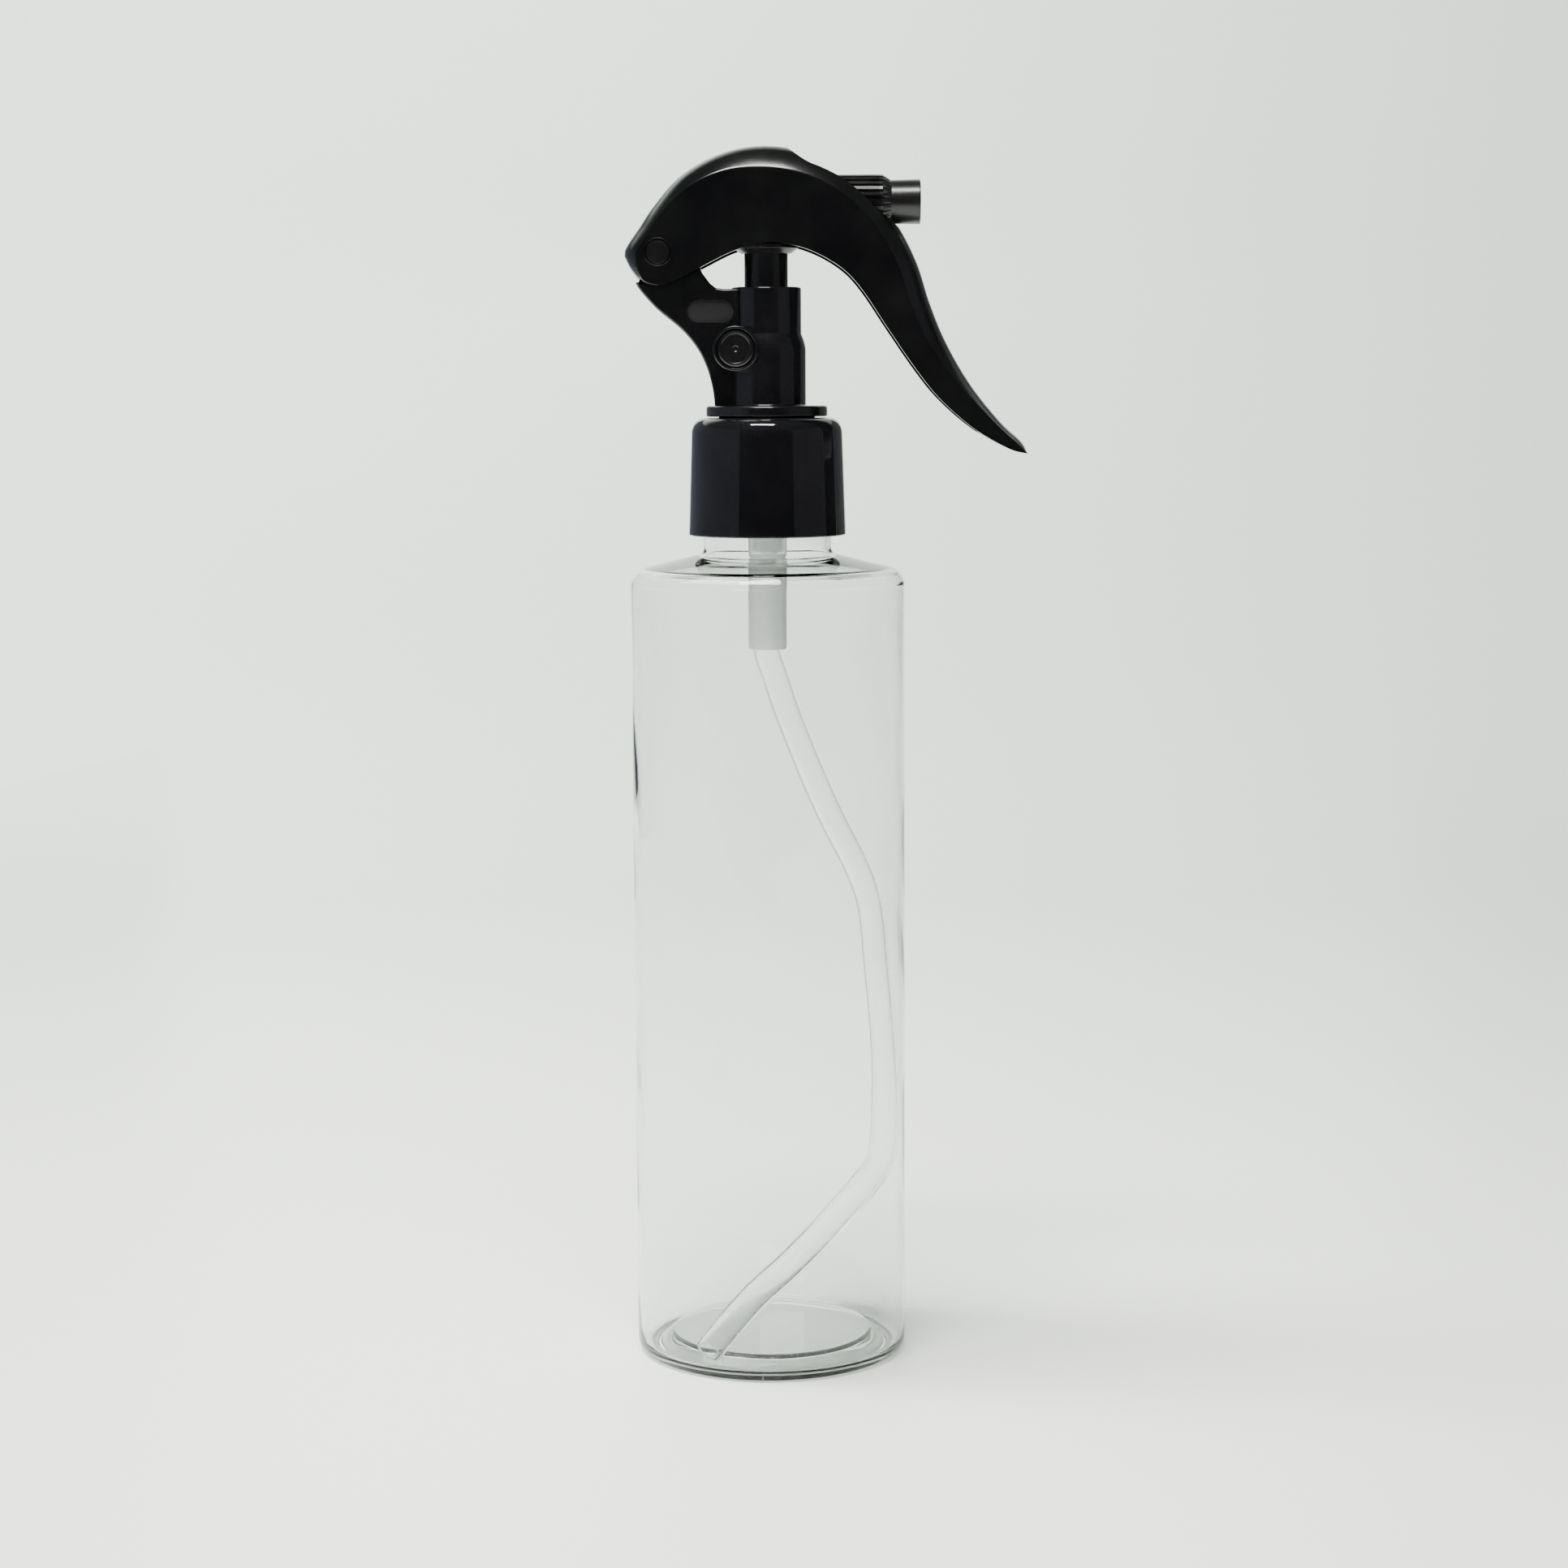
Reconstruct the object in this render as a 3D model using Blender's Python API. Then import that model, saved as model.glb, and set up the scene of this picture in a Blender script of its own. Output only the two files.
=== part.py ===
"""Hand mister: a lever-action mini trigger sprayer on a clear 250 ml cylinder bottle.

Sizes are in millimetres and become metres where a mesh is made. Each piece is modelled around the bottle's
axis, with the foot at z = 0 and the spout towards +X. At the end one empty centres the whole on the origin.
Heights above the bottle are counted from the rim of the neck, and the lever's from its hinge pin.
"""

import math

import bmesh
import bpy
from mathutils import Matrix, Vector

MM = 0.001
WELD = 0.003  # corners closer than this become one
FIT_GAP = 0.3  # between pieces that rest on, sit in or slide through each other

# Bottle
BOTTLE_RADIUS = 25.0
SHOULDER_START = 142.4  # top of the straight wall
BOTTLE_WALL = 0.75
SHOULDER_FILLET = 3.6
SHOULDER_SLOPE = math.radians(13.8)
FINISH_RADIUS = 10.75
NECK_BASE_RADIUS = FINISH_RADIUS + 0.9
NECK_BASE_HEIGHT = 4.2
NECK_WALL = 1.75
FINISH_BORE = 9.1
FINISH_HEIGHT = 16.0  # neck base to rim
HEEL_FILLET = 2.3
FOOT_WIDTH = 1.3
PUSH_UP_RADIUS = 18.3
PUSH_UP_HEIGHT = 2.4
FLOOR_WALL = 1.0
FLOOR_DOME = 0.9

# Screw thread between the neck and the closure
THREAD_PITCH = 3.175
THREAD_TURNS = 1.5
THREAD_TOP = 2.6  # rim to the start of the thread
THREAD_BASE_WIDTH = 1.5
THREAD_CREST_WIDTH = 0.7
NECK_THREAD_HEIGHT = 1.2
CLOSURE_THREAD_HEIGHT = 1.05

# Closure
CLOSURE_TOP_RADIUS = FINISH_RADIUS + 3.0
CLOSURE_BOTTOM_RADIUS = CLOSURE_TOP_RADIUS + 0.6
CLOSURE_SKIRT = 17.0  # rim to the skirt's lower edge
CLOSURE_TOP_WALL = 1.5
CLOSURE_FILLET = 2.6
CLOSURE_HOLE_RADIUS = 9.0
CLOSURE_SHELL_WALL = 1.35

# Bottle gasket and pump housing
GASKET_HEIGHT = 0.7
GASKET_BORE = 6.2
HOUSING_FLANGE_RADIUS = 10.4
HOUSING_FLANGE_HEIGHT = 1.15
BARREL_RADIUS = 5.1
BARREL_BORE = 4.15
BARREL_TOP = 11.7
BARREL_LEDGE = -15.8
TAIL_RADIUS = 3.52
TAIL_END = -37.8
BALL_CHAMBER_BORE = 2.2
VENT_RADIUS = 0.45

# Dip tube
TUBE_RADIUS = 2.6
TUBE_BORE = 1.9
TUBE_WALL_CLEARANCE = 0.25

# Sprayer body
FLANGE_RADIUS = 11.05
FLANGE_HEIGHT = 1.95
COLUMN_RADIUS = 7.15
COLUMN_UPPER_RADIUS = 6.35
COLUMN_STEP = 10.5  # flange top to the start of the step
COLUMN_STEP_HEIGHT = 2.4
COLUMN_HEIGHT = 21.2
ARM_THICKNESS = 8.6
ARM_EDGE_BEVEL = 0.5

# Lever
HINGE_BACK = 19.3  # hinge pin to the bottle's axis
HINGE_RISE = 6.2  # column top to the hinge pin
HINGE_PIN_RADIUS = 2.15
HINGE_PIN_CLEARANCE = 0.15
ARM_HEAD_RADIUS = 3.05
LEVER_WIDTH = 13.6
LEVER_WALL = 1.35
CROWN_POWER = 2.8
CAVITY_DROP = 0.6
SLOT_START = 22.8  # hinge pin to the rear of the roof's slot

# Plunger, nozzle and lock
STROKE = 5.45
STEM_RADIUS = 3.95
STEM_BORE = 2.6
STEM_LENGTH = 12.8  # underside of the head to the stem's lower end
HEAD_CLEARANCE = 0.5  # left above the column at full stroke
HEAD_HALF_LENGTH = 5.8
HEAD_HALF_WIDTH = LEVER_WIDTH / 2 - LEVER_WALL - 0.6
HEAD_BODY_RADIUS = 3.8
TRUNNION_RADIUS = 1.5
TRUNNION_CLEARANCE = 0.45  # the fork moves a little along X as it swings
TRUNNION_RISE = 3.4
NOZZLE_AXIS_RISE = 9.3  # underside of the head to the nozzle's axis
NOZZLE_REAR = 8.6
NOZZLE_RIB_LENGTH = 12.4
NOZZLE_CONE_LENGTH = 1.5
NOZZLE_BARREL_LENGTH = 5.3
NOZZLE_RIB_RADIUS = 4.85
NOZZLE_RIB_DEPTH = 0.45
NOZZLE_RIBS = 25
NOZZLE_BARREL_RADIUS = 3.9
NOZZLE_BORE = 3.2
NOZZLE_CUP_RADIUS = 2.9
NOZZLE_CUP_DEPTH = 4.1
ORIFICE_RADIUS = 0.35
POST_LENGTH = 12.9
LOCK_X = -5.5
LOCK_RISE = 10.2  # flange top to the lock's axis
LOCK_RADIUS = 3.3
LOCK_BOSS_RADIUS = 4.05
LOCK_BOSS_REACH = 7.45
LOCK_TRAVEL = 2.6
PILL_LENGTH = 8.4
PILL_HEIGHT = 4.2
PILL_DEPTH = 0.35

# Pump internals
BALL_RADIUS = 1.6
OUTLET_BALL_RADIUS = 1.5
PISTON_LENGTH = 5.5
PISTON_LIP_CLEARANCE = 0.2
SPRING_RECESS = 2.0  # how far the spring's upper end stands inside the piston
GUIDE_SKIRT_RADIUS = 3.85
SHAFT_RADIUS = 2.45
SPRING_RADIUS = 3.0
SPRING_WIRE_RADIUS = 0.35
SPRING_TURNS = 6.0

# Heights worked out from the sizes above
SHOULDER_TURN = math.pi / 2 - SHOULDER_SLOPE
CONE_START_RADIUS = BOTTLE_RADIUS - SHOULDER_FILLET * (1 - math.cos(SHOULDER_TURN))
CONE_START = SHOULDER_START + SHOULDER_FILLET * math.sin(SHOULDER_TURN)
NECK_FOOT = CONE_START + (CONE_START_RADIUS - NECK_BASE_RADIUS) * math.tan(SHOULDER_SLOPE)
NECK_STEP = NECK_FOOT + NECK_BASE_HEIGHT
RIM = NECK_STEP + FINISH_HEIGHT
GASKET_TOP = RIM + FIT_GAP + GASKET_HEIGHT
HOUSING_FLANGE = GASKET_TOP + FIT_GAP
HOUSING_FLANGE_TOP = HOUSING_FLANGE + HOUSING_FLANGE_HEIGHT
CLOSURE_CEILING = HOUSING_FLANGE_TOP + FIT_GAP
CLOSURE_TOP = CLOSURE_CEILING + CLOSURE_TOP_WALL
CLOSURE_BOTTOM = RIM - CLOSURE_SKIRT
FLANGE_BOTTOM = CLOSURE_TOP + FIT_GAP - 0.1
FLANGE_TOP = FLANGE_BOTTOM + FLANGE_HEIGHT
COLUMN_TOP = FLANGE_TOP + COLUMN_HEIGHT
HINGE = COLUMN_TOP + HINGE_RISE
HEAD_BOTTOM = COLUMN_TOP + STROKE + HEAD_CLEARANCE
NOZZLE_AXIS = HEAD_BOTTOM + NOZZLE_AXIS_RISE
TRUNNION = HEAD_BOTTOM + TRUNNION_RISE
STEM_END = HEAD_BOTTOM - STEM_LENGTH
LOCK = FLANGE_TOP + LOCK_RISE
HOUSING_TOP = RIM + BARREL_TOP
LEDGE = RIM + BARREL_LEDGE
TAIL_BOTTOM = RIM + TAIL_END
BALL_SEAT = LEDGE - 5.2
SOCKET_TOP = BALL_SEAT - 0.9
GUIDE_TOP = HOUSING_TOP + FIT_GAP + 0.8
GUIDE_BOTTOM = RIM + 1.4
SEAL_TOP = GUIDE_BOTTOM - FIT_GAP
SEAL_BOTTOM = SEAL_TOP - 0.9
PISTON_TOP = SEAL_BOTTOM - FIT_GAP
PISTON_BOTTOM = PISTON_TOP - PISTON_LENGTH
POST_START = NOZZLE_REAR - 1.0
POST_END = POST_START + POST_LENGTH

ROUND_LARGE = 48
ROUND_MEDIUM = 36
ROUND_SMALL = 24
ROUND_FINE = 16


def material(name, colour, roughness, metallic=0.0, alpha=1.0):
    made = bpy.data.materials.new(name)
    made.use_nodes = True
    shader = made.node_tree.nodes["Principled BSDF"]
    shader.inputs["Base Color"].default_value = (*colour, 1.0)
    shader.inputs["Roughness"].default_value = roughness
    shader.inputs["Metallic"].default_value = metallic
    shader.inputs["Alpha"].default_value = alpha
    return made


def object_from(name, shape, look=None):
    """An object made from a bmesh in millimetres, with its normals pointing out."""
    bmesh.ops.remove_doubles(shape, verts=shape.verts, dist=WELD)
    bmesh.ops.recalc_face_normals(shape, faces=shape.faces)
    bmesh.ops.scale(shape, vec=(MM, MM, MM), verts=shape.verts)
    mesh = bpy.data.meshes.new(name)
    shape.to_mesh(mesh)
    shape.free()
    if look:
        mesh.materials.append(look)
    made = bpy.data.objects.new(name, mesh)
    bpy.context.scene.collection.objects.link(made)
    return made


def turned(name, profile, sides, look=None, closed=True):
    """A profile of (radius, height) points spun once round the Z axis."""
    shape = bmesh.new()
    points = [shape.verts.new((radius, 0.0, height)) for radius, height in profile]
    ends = points[1:] + points[:1] if closed else points[1:]
    edges = [shape.edges.new(pair) for pair in zip(points, ends)]
    bmesh.ops.spin(
        shape,
        geom=points + edges,
        cent=(0, 0, 0),
        axis=(0, 0, 1),
        angle=2 * math.pi,
        steps=sides,
        use_merge=True,
    )
    return object_from(name, shape, look)


def solid_turned(name, profile, sides, look=None):
    """A spun profile that starts and ends on the axis."""
    return turned(name, profile, sides, look, closed=False)


def cylinder(name, radius, bottom, top, sides=ROUND_SMALL, look=None):
    return solid_turned(name, [(0, top), (radius, top), (radius, bottom), (0, bottom)], sides, look)


def prism(name, outline, near, far, look=None):
    """An outline of (x, z) points extruded along Y from near to far."""
    shape = bmesh.new()
    face = shape.faces.new([shape.verts.new((x, near, z)) for x, z in outline])
    moved = bmesh.ops.extrude_face_region(shape, geom=[face])
    corners = [part for part in moved["geom"] if isinstance(part, bmesh.types.BMVert)]
    bmesh.ops.translate(shape, vec=(0, far - near, 0), verts=corners)
    return object_from(name, shape, look)


def block(name, low, high):
    outline = [(low[0], low[2]), (high[0], low[2]), (high[0], high[2]), (low[0], high[2])]
    return prism(name, outline, low[1], high[1])


def lay_along_x(obj, height):
    """Turns a piece made round Z so that its axis is +X at the given height."""
    for vertex in obj.data.vertices:
        x, y, z = vertex.co
        vertex.co = (z, y, height * MM - x)
    return obj


def lay_along_y(obj, x_place, height):
    for vertex in obj.data.vertices:
        x, y, z = vertex.co
        vertex.co = (x + x_place * MM, -z, y + height * MM)
    return obj


def combine(target, tools, operation):
    """Applies one exact Boolean to target with all the tools at once, and removes them."""
    group = bpy.data.collections.new("tools")
    bpy.context.scene.collection.children.link(group)
    for tool in tools:
        group.objects.link(tool)
    modifier = target.modifiers.new("combine", "BOOLEAN")
    modifier.operation = operation
    modifier.operand_type = "COLLECTION"
    modifier.collection = group
    graph = bpy.context.evaluated_depsgraph_get()
    result = bpy.data.meshes.new_from_object(target.evaluated_get(graph))
    target.modifiers.clear()
    target.data = result
    for tool in tools:
        bpy.data.objects.remove(tool)
    bpy.data.collections.remove(group)
    shape = bmesh.new()
    shape.from_mesh(result)
    bmesh.ops.remove_doubles(shape, verts=shape.verts, dist=WELD * MM)
    bmesh.ops.dissolve_degenerate(shape, edges=shape.edges, dist=WELD * MM)
    bmesh.ops.triangulate(shape, faces=shape.faces)
    shape.to_mesh(result)
    shape.free()
    return target


def cut(target, *tools):
    return combine(target, tools, "DIFFERENCE")


def join(target, *tools):
    return combine(target, tools, "UNION")


def bevel(obj, width, segments=2, angle=math.radians(40)):
    modifier = obj.modifiers.new("edge_round", "BEVEL")
    modifier.width = width * MM
    modifier.segments = segments
    modifier.limit_method = "ANGLE"
    modifier.angle_limit = angle
    graph = bpy.context.evaluated_depsgraph_get()
    obj.data = bpy.data.meshes.new_from_object(obj.evaluated_get(graph))
    obj.modifiers.clear()
    return obj


def smooth(obj):
    obj.data.shade_smooth()
    obj.data.set_sharp_from_angle(angle=math.radians(35))
    return obj


def arc(centre, radius, start, end, steps):
    """Points on a circle in the profile's plane, from start to end in degrees."""
    angles = [math.radians(start + (end - start) * i / steps) for i in range(steps + 1)]
    return [(centre[0] + radius * math.cos(a), centre[1] + radius * math.sin(a)) for a in angles]


def curve_through(points, per_span):
    """A Catmull-Rom curve through control points of any number of values."""
    padded = [points[0], *points, points[-1]]
    found = []
    for before, start, end, after in zip(padded, padded[1:], padded[2:], padded[3:]):
        for i in range(per_span):
            t = i / per_span
            found.append(
                tuple(
                    0.5 * (2 * b + (c - a) * t)
                    + 0.5 * ((2 * a - 5 * b + 4 * c - d) * t**2 + (3 * b - a - 3 * c + d) * t**3)
                    for a, b, c, d in zip(before, start, end, after)
                )
            )
    return [*found, tuple(points[-1])]


def tube_faces(rings, shape):
    """Quads between consecutive closed rings of vertices."""
    for ring, following in zip(rings, rings[1:]):
        for i in range(len(ring)):
            j = (i + 1) % len(ring)
            shape.faces.new((ring[i], ring[j], following[j], following[i]))


def swept(name, path, section, look=None, bore=None):
    """Carries a closed section along a path of points, with the turn between rings kept least.

    section(i) gives the (side, up) points of the ring at path point i. With a bore, a second
    section is carried inside the first and the two are joined at both ends.
    """
    centres = [Vector(point) for point in path]
    tangents = []
    for i in range(len(centres)):
        ahead = centres[min(i + 1, len(centres) - 1)]
        behind = centres[max(i - 1, 0)]
        tangents.append((ahead - behind).normalized())
    side = tangents[0].cross(Vector((0, 1, 0))).normalized()
    shape = bmesh.new()
    outer = []
    inner = []
    for i, (centre, tangent) in enumerate(zip(centres, tangents)):
        side = (side - tangent * side.dot(tangent)).normalized()
        up = tangent.cross(side)
        outer.append([shape.verts.new(centre + side * u + up * v) for u, v in section(i)])
        if bore:
            inner.append([shape.verts.new(centre + side * u + up * v) for u, v in bore(i)])
    tube_faces(outer, shape)
    if bore:
        tube_faces(inner, shape)
        tube_faces([outer[0], inner[0]], shape)
        tube_faces([outer[-1], inner[-1]], shape)
    else:
        shape.faces.new(outer[0])
        shape.faces.new(outer[-1])
    return object_from(name, shape, look)


def ring_section(radius, sides):
    angles = [2 * math.pi * i / sides for i in range(sides)]
    points = [(radius * math.cos(a), radius * math.sin(a)) for a in angles]
    return lambda index: points


def thread_ridge(name, wall_radius, height, outward, top, phase):
    """A trapezoid carried 1.5 turns down a screw line, sunk into its wall and run out at both ends."""
    steps = int(30 * THREAD_TURNS)
    sink = 0.25 if outward else -0.25
    reach = height if outward else -height
    shape = bmesh.new()
    rings = []
    for i in range(steps + 1):
        turn = THREAD_TURNS * i / steps
        angle = 2 * math.pi * turn
        centre = top - THREAD_PITCH * (THREAD_TURNS - turn) + phase
        grow = min(1.0, i / 4, (steps - i) / 4)
        crest = wall_radius + reach * max(grow, 0.05)
        root = wall_radius - sink
        half_root = THREAD_BASE_WIDTH / 2
        half_crest = THREAD_CREST_WIDTH / 2
        section = [(root, -half_root), (crest, -half_crest), (crest, half_crest), (root, half_root)]
        rings.append(
            [
                shape.verts.new((radius * math.cos(angle), radius * math.sin(angle), centre + offset))
                for radius, offset in section
            ]
        )
    tube_faces(rings, shape)
    shape.faces.new(rings[0])
    shape.faces.new(rings[-1])
    return object_from(name, shape)


def make_bottle():
    """Clear blown bottle: foot ring, push-up floor, straight wall, sloping shoulder and threaded neck."""
    look = material("clear_pet", (0.93, 0.96, 0.95), 0.05, alpha=0.2)
    foot_outer = BOTTLE_RADIUS - HEEL_FILLET + 0.5
    foot_inner = foot_outer - FOOT_WIDTH
    inside = BOTTLE_RADIUS - BOTTLE_WALL
    fillet = SHOULDER_FILLET - BOTTLE_WALL
    heel = arc((foot_outer, HEEL_FILLET), HEEL_FILLET, -90, 0, 4)
    stretch = (BOTTLE_RADIUS - foot_outer) / HEEL_FILLET
    heel = [(foot_outer + (radius - foot_outer) * stretch, z) for radius, z in heel]
    slope = math.degrees(SHOULDER_SLOPE)
    trough = PUSH_UP_RADIUS + 2.4
    profile = [
        *arc((BOTTLE_RADIUS - SHOULDER_FILLET, SHOULDER_START), SHOULDER_FILLET, 90 - slope, 0, 4),
        *reversed(heel),
        (foot_inner, 0.0),
        (PUSH_UP_RADIUS + 1.0, PUSH_UP_HEIGHT - 0.7),
        (PUSH_UP_RADIUS - 0.3, PUSH_UP_HEIGHT),
        (PUSH_UP_RADIUS * 0.5, PUSH_UP_HEIGHT + FLOOR_DOME * 0.75),
        (0.0, PUSH_UP_HEIGHT + FLOOR_DOME),
        (0.0, PUSH_UP_HEIGHT + FLOOR_DOME + FLOOR_WALL),
        (PUSH_UP_RADIUS * 0.5, PUSH_UP_HEIGHT + FLOOR_DOME * 0.75 + FLOOR_WALL),
        (PUSH_UP_RADIUS, PUSH_UP_HEIGHT + FLOOR_WALL),
        (trough, FLOOR_WALL + 0.1),
        (inside - 1.7, FLOOR_WALL + 0.1),
        (inside - 0.5, FLOOR_WALL + 0.7),
        (inside, FLOOR_WALL + 2.2),
        *arc((inside - fillet, SHOULDER_START), fillet, 0, 90 - math.degrees(SHOULDER_SLOPE), 4),
        (NECK_BASE_RADIUS - NECK_WALL, NECK_FOOT - BOTTLE_WALL * 1.4),
        (NECK_BASE_RADIUS - NECK_WALL, NECK_STEP - 0.6),
        (FINISH_BORE, NECK_STEP + 0.6),
        (FINISH_BORE, RIM - 0.3),
        (FINISH_BORE + 0.3, RIM),
        (FINISH_RADIUS - 0.3, RIM),
        (FINISH_RADIUS, RIM - 0.3),
        (FINISH_RADIUS, NECK_STEP + 0.4),
        (NECK_BASE_RADIUS - 0.3, NECK_STEP),
        (NECK_BASE_RADIUS, NECK_STEP - 0.3),
        (NECK_BASE_RADIUS, NECK_FOOT + 0.5),
        (NECK_BASE_RADIUS + 0.7, NECK_FOOT),
    ]
    bottle = turned("bottle", profile, ROUND_LARGE, look)
    join(bottle, thread_ridge("neck_thread", FINISH_RADIUS, NECK_THREAD_HEIGHT, True, RIM - THREAD_TOP, 0.0))
    return smooth(bottle)


def make_closure():
    """Glossy screw collar, open in the middle for the sprayer body."""
    look = material("closure_black", (0.006, 0.006, 0.007), 0.08)
    bore = CLOSURE_TOP_RADIUS - CLOSURE_SHELL_WALL
    fillet = arc((0.0, 0.0), 1.0, 90, 0, 4)
    side = [
        (CLOSURE_TOP_RADIUS - CLOSURE_FILLET * (1 - u), CLOSURE_TOP - CLOSURE_FILLET * (1 - v))
        for u, v in fillet
    ]
    profile = [
        (CLOSURE_HOLE_RADIUS, CLOSURE_TOP),
        *side,
        (CLOSURE_BOTTOM_RADIUS, CLOSURE_BOTTOM),
        (CLOSURE_BOTTOM_RADIUS - 1.1, CLOSURE_BOTTOM),
        (bore, CLOSURE_BOTTOM + 1.2),
        (bore, CLOSURE_CEILING),
        (CLOSURE_HOLE_RADIUS, CLOSURE_CEILING),
    ]
    closure = turned("closure", profile, ROUND_LARGE, look)
    ridge = thread_ridge(
        "closure_thread", bore, CLOSURE_THREAD_HEIGHT, False, RIM - THREAD_TOP, -THREAD_PITCH / 2
    )
    return smooth(join(closure, ridge))


def make_gasket():
    look = material("gasket_foam", (0.82, 0.83, 0.82), 0.7)
    bottom = RIM + FIT_GAP
    profile = [
        (GASKET_BORE, GASKET_TOP),
        (FINISH_RADIUS + 0.4, GASKET_TOP),
        (FINISH_RADIUS + 0.4, bottom),
        (GASKET_BORE, bottom),
    ]
    return smooth(turned("bottle_gasket", profile, ROUND_MEDIUM, look))


def make_housing():
    """White pump barrel with a clamping flange, a ball seat, and a tail that holds the dip tube."""
    look = material("housing_natural", (0.86, 0.88, 0.87), 0.35)
    shoulder = BARREL_RADIUS - TAIL_RADIUS
    socket = TUBE_RADIUS + 0.25
    profile = [
        (BARREL_BORE, HOUSING_TOP),
        (BARREL_RADIUS - 0.2, HOUSING_TOP),
        (BARREL_RADIUS, HOUSING_TOP - 0.2),
        (BARREL_RADIUS, HOUSING_FLANGE_TOP),
        (HOUSING_FLANGE_RADIUS, HOUSING_FLANGE_TOP),
        (HOUSING_FLANGE_RADIUS, HOUSING_FLANGE),
        (BARREL_RADIUS, HOUSING_FLANGE),
        (BARREL_RADIUS, LEDGE),
        (TAIL_RADIUS, LEDGE - shoulder),
        (TAIL_RADIUS, TAIL_BOTTOM + 0.4),
        (TAIL_RADIUS - 0.3, TAIL_BOTTOM),
        (socket, TAIL_BOTTOM),
        (socket, SOCKET_TOP),
        (1.1, SOCKET_TOP),
        (1.1, BALL_SEAT),
        (BALL_CHAMBER_BORE, BALL_SEAT + BALL_CHAMBER_BORE - 1.1),
        (BALL_CHAMBER_BORE, LEDGE),
        (BARREL_BORE, LEDGE),
    ]
    housing = turned("pump_housing", profile, ROUND_SMALL, look)
    vent = cylinder("vent", VENT_RADIUS, BARREL_BORE - 1.5, BARREL_RADIUS + 1.5, 8)
    return smooth(cut(housing, lay_along_x(vent, PISTON_TOP - PISTON_LENGTH * 0.4)))


def make_stem_guide():
    """Sleeve pressed into the barrel: it guides the plunger and stops the piston's upward travel."""
    look = material("guide_natural", (0.85, 0.86, 0.84), 0.4)
    bore = SHAFT_RADIUS + FIT_GAP
    profile = [
        (bore, GUIDE_TOP),
        (BARREL_RADIUS - 0.1, GUIDE_TOP),
        (BARREL_RADIUS - 0.1, HOUSING_TOP + FIT_GAP),
        (GUIDE_SKIRT_RADIUS, HOUSING_TOP + FIT_GAP),
        (GUIDE_SKIRT_RADIUS, GUIDE_BOTTOM),
        (bore, GUIDE_BOTTOM),
    ]
    return smooth(turned("stem_guide", profile, ROUND_SMALL, look))


def make_stem_seal():
    look = material("seal_rubber", (0.05, 0.05, 0.05), 0.6)
    bore = SHAFT_RADIUS + 0.2
    profile = [
        (bore, SEAL_TOP),
        (GUIDE_SKIRT_RADIUS, SEAL_TOP),
        (GUIDE_SKIRT_RADIUS, SEAL_BOTTOM),
        (bore, SEAL_BOTTOM),
    ]
    return smooth(turned("stem_seal", profile, ROUND_SMALL, look))


def make_piston():
    """Soft piston with a sealing lip at each end, pressed on the main stem."""
    look = material("piston_natural", (0.88, 0.88, 0.85), 0.45)
    lip = BARREL_BORE - PISTON_LIP_CLEARANCE
    bore = SHAFT_RADIUS - 0.65 + FIT_GAP
    top = PISTON_TOP
    bottom = PISTON_BOTTOM
    recess = SPRING_RADIUS + SPRING_WIRE_RADIUS + 0.2
    recess_top = bottom + SPRING_RECESS
    profile = [
        (bore, top),
        (lip - 0.7, top),
        (lip, top - 0.1),
        (lip, top - 0.5),
        (lip - 0.6, top - 1.2),
        (lip - 0.6, recess_top + 0.8),
        (lip, recess_top + 0.2),
        (lip, bottom),
        (recess, bottom),
        (recess, recess_top),
        (bore, recess_top),
    ]
    return smooth(turned("piston", profile, ROUND_SMALL, look))


def make_main_stem():
    """Hollow rod that carries the piston; its top is the outlet ball's seat."""
    look = material("stem_natural", (0.84, 0.86, 0.85), 0.35)
    seat_radius = STEM_BORE - FIT_GAP
    collar_top = STEM_END - FIT_GAP
    top = STEM_END + 8.0
    profile = [
        (seat_radius - 0.3, top),
        (seat_radius, top - 0.3),
        (seat_radius, collar_top),
        (STEM_RADIUS - 0.5, collar_top),
        (STEM_RADIUS - 0.5, collar_top - 1.1),
        (SHAFT_RADIUS, collar_top - 1.4),
        (SHAFT_RADIUS, PISTON_TOP + FIT_GAP),
        (SHAFT_RADIUS - 0.65, PISTON_TOP + FIT_GAP),
        (SHAFT_RADIUS - 0.65, PISTON_BOTTOM + 1.0),
        (0.9, PISTON_BOTTOM + 1.0),
        (0.9, top - 1.1),
    ]
    return smooth(turned("main_stem", profile, ROUND_SMALL, look))


def make_ball(name, radius, seat_radius, seat_height, look):
    """A ball resting, with a small gap, on a 45 degree seat whose narrow end is given."""
    centre = seat_height - seat_radius + radius * math.sqrt(2) + 0.25
    shape = bmesh.new()
    bmesh.ops.create_icosphere(shape, subdivisions=2, radius=radius)
    bmesh.ops.translate(shape, vec=(0, 0, centre), verts=shape.verts)
    return smooth(object_from(name, shape, look))


def make_ball_retainer():
    """Notched disc over the ball chamber: liquid passes, the ball doesn't."""
    look = material("retainer_natural", (0.83, 0.85, 0.83), 0.4)
    outer = SPRING_RADIUS - SPRING_WIRE_RADIUS - 0.2
    bottom = LEDGE + FIT_GAP
    disc = cylinder("ball_retainer", outer, bottom, bottom + 0.8, ROUND_SMALL, look)
    for i in range(3):
        angle = math.radians(90 + 120 * i)
        notch = cylinder("notch", 0.8, bottom - 1, bottom + 2, 10)
        notch.data.transform(shifted_by(outer * 0.8 * math.cos(angle), outer * 0.8 * math.sin(angle)))
        cut(disc, notch)
    return smooth(disc)


def shifted_by(x, y, z=0.0):
    """A move in millimetres, for mesh data."""
    return Matrix.Translation((x * MM, y * MM, z * MM))


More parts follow.
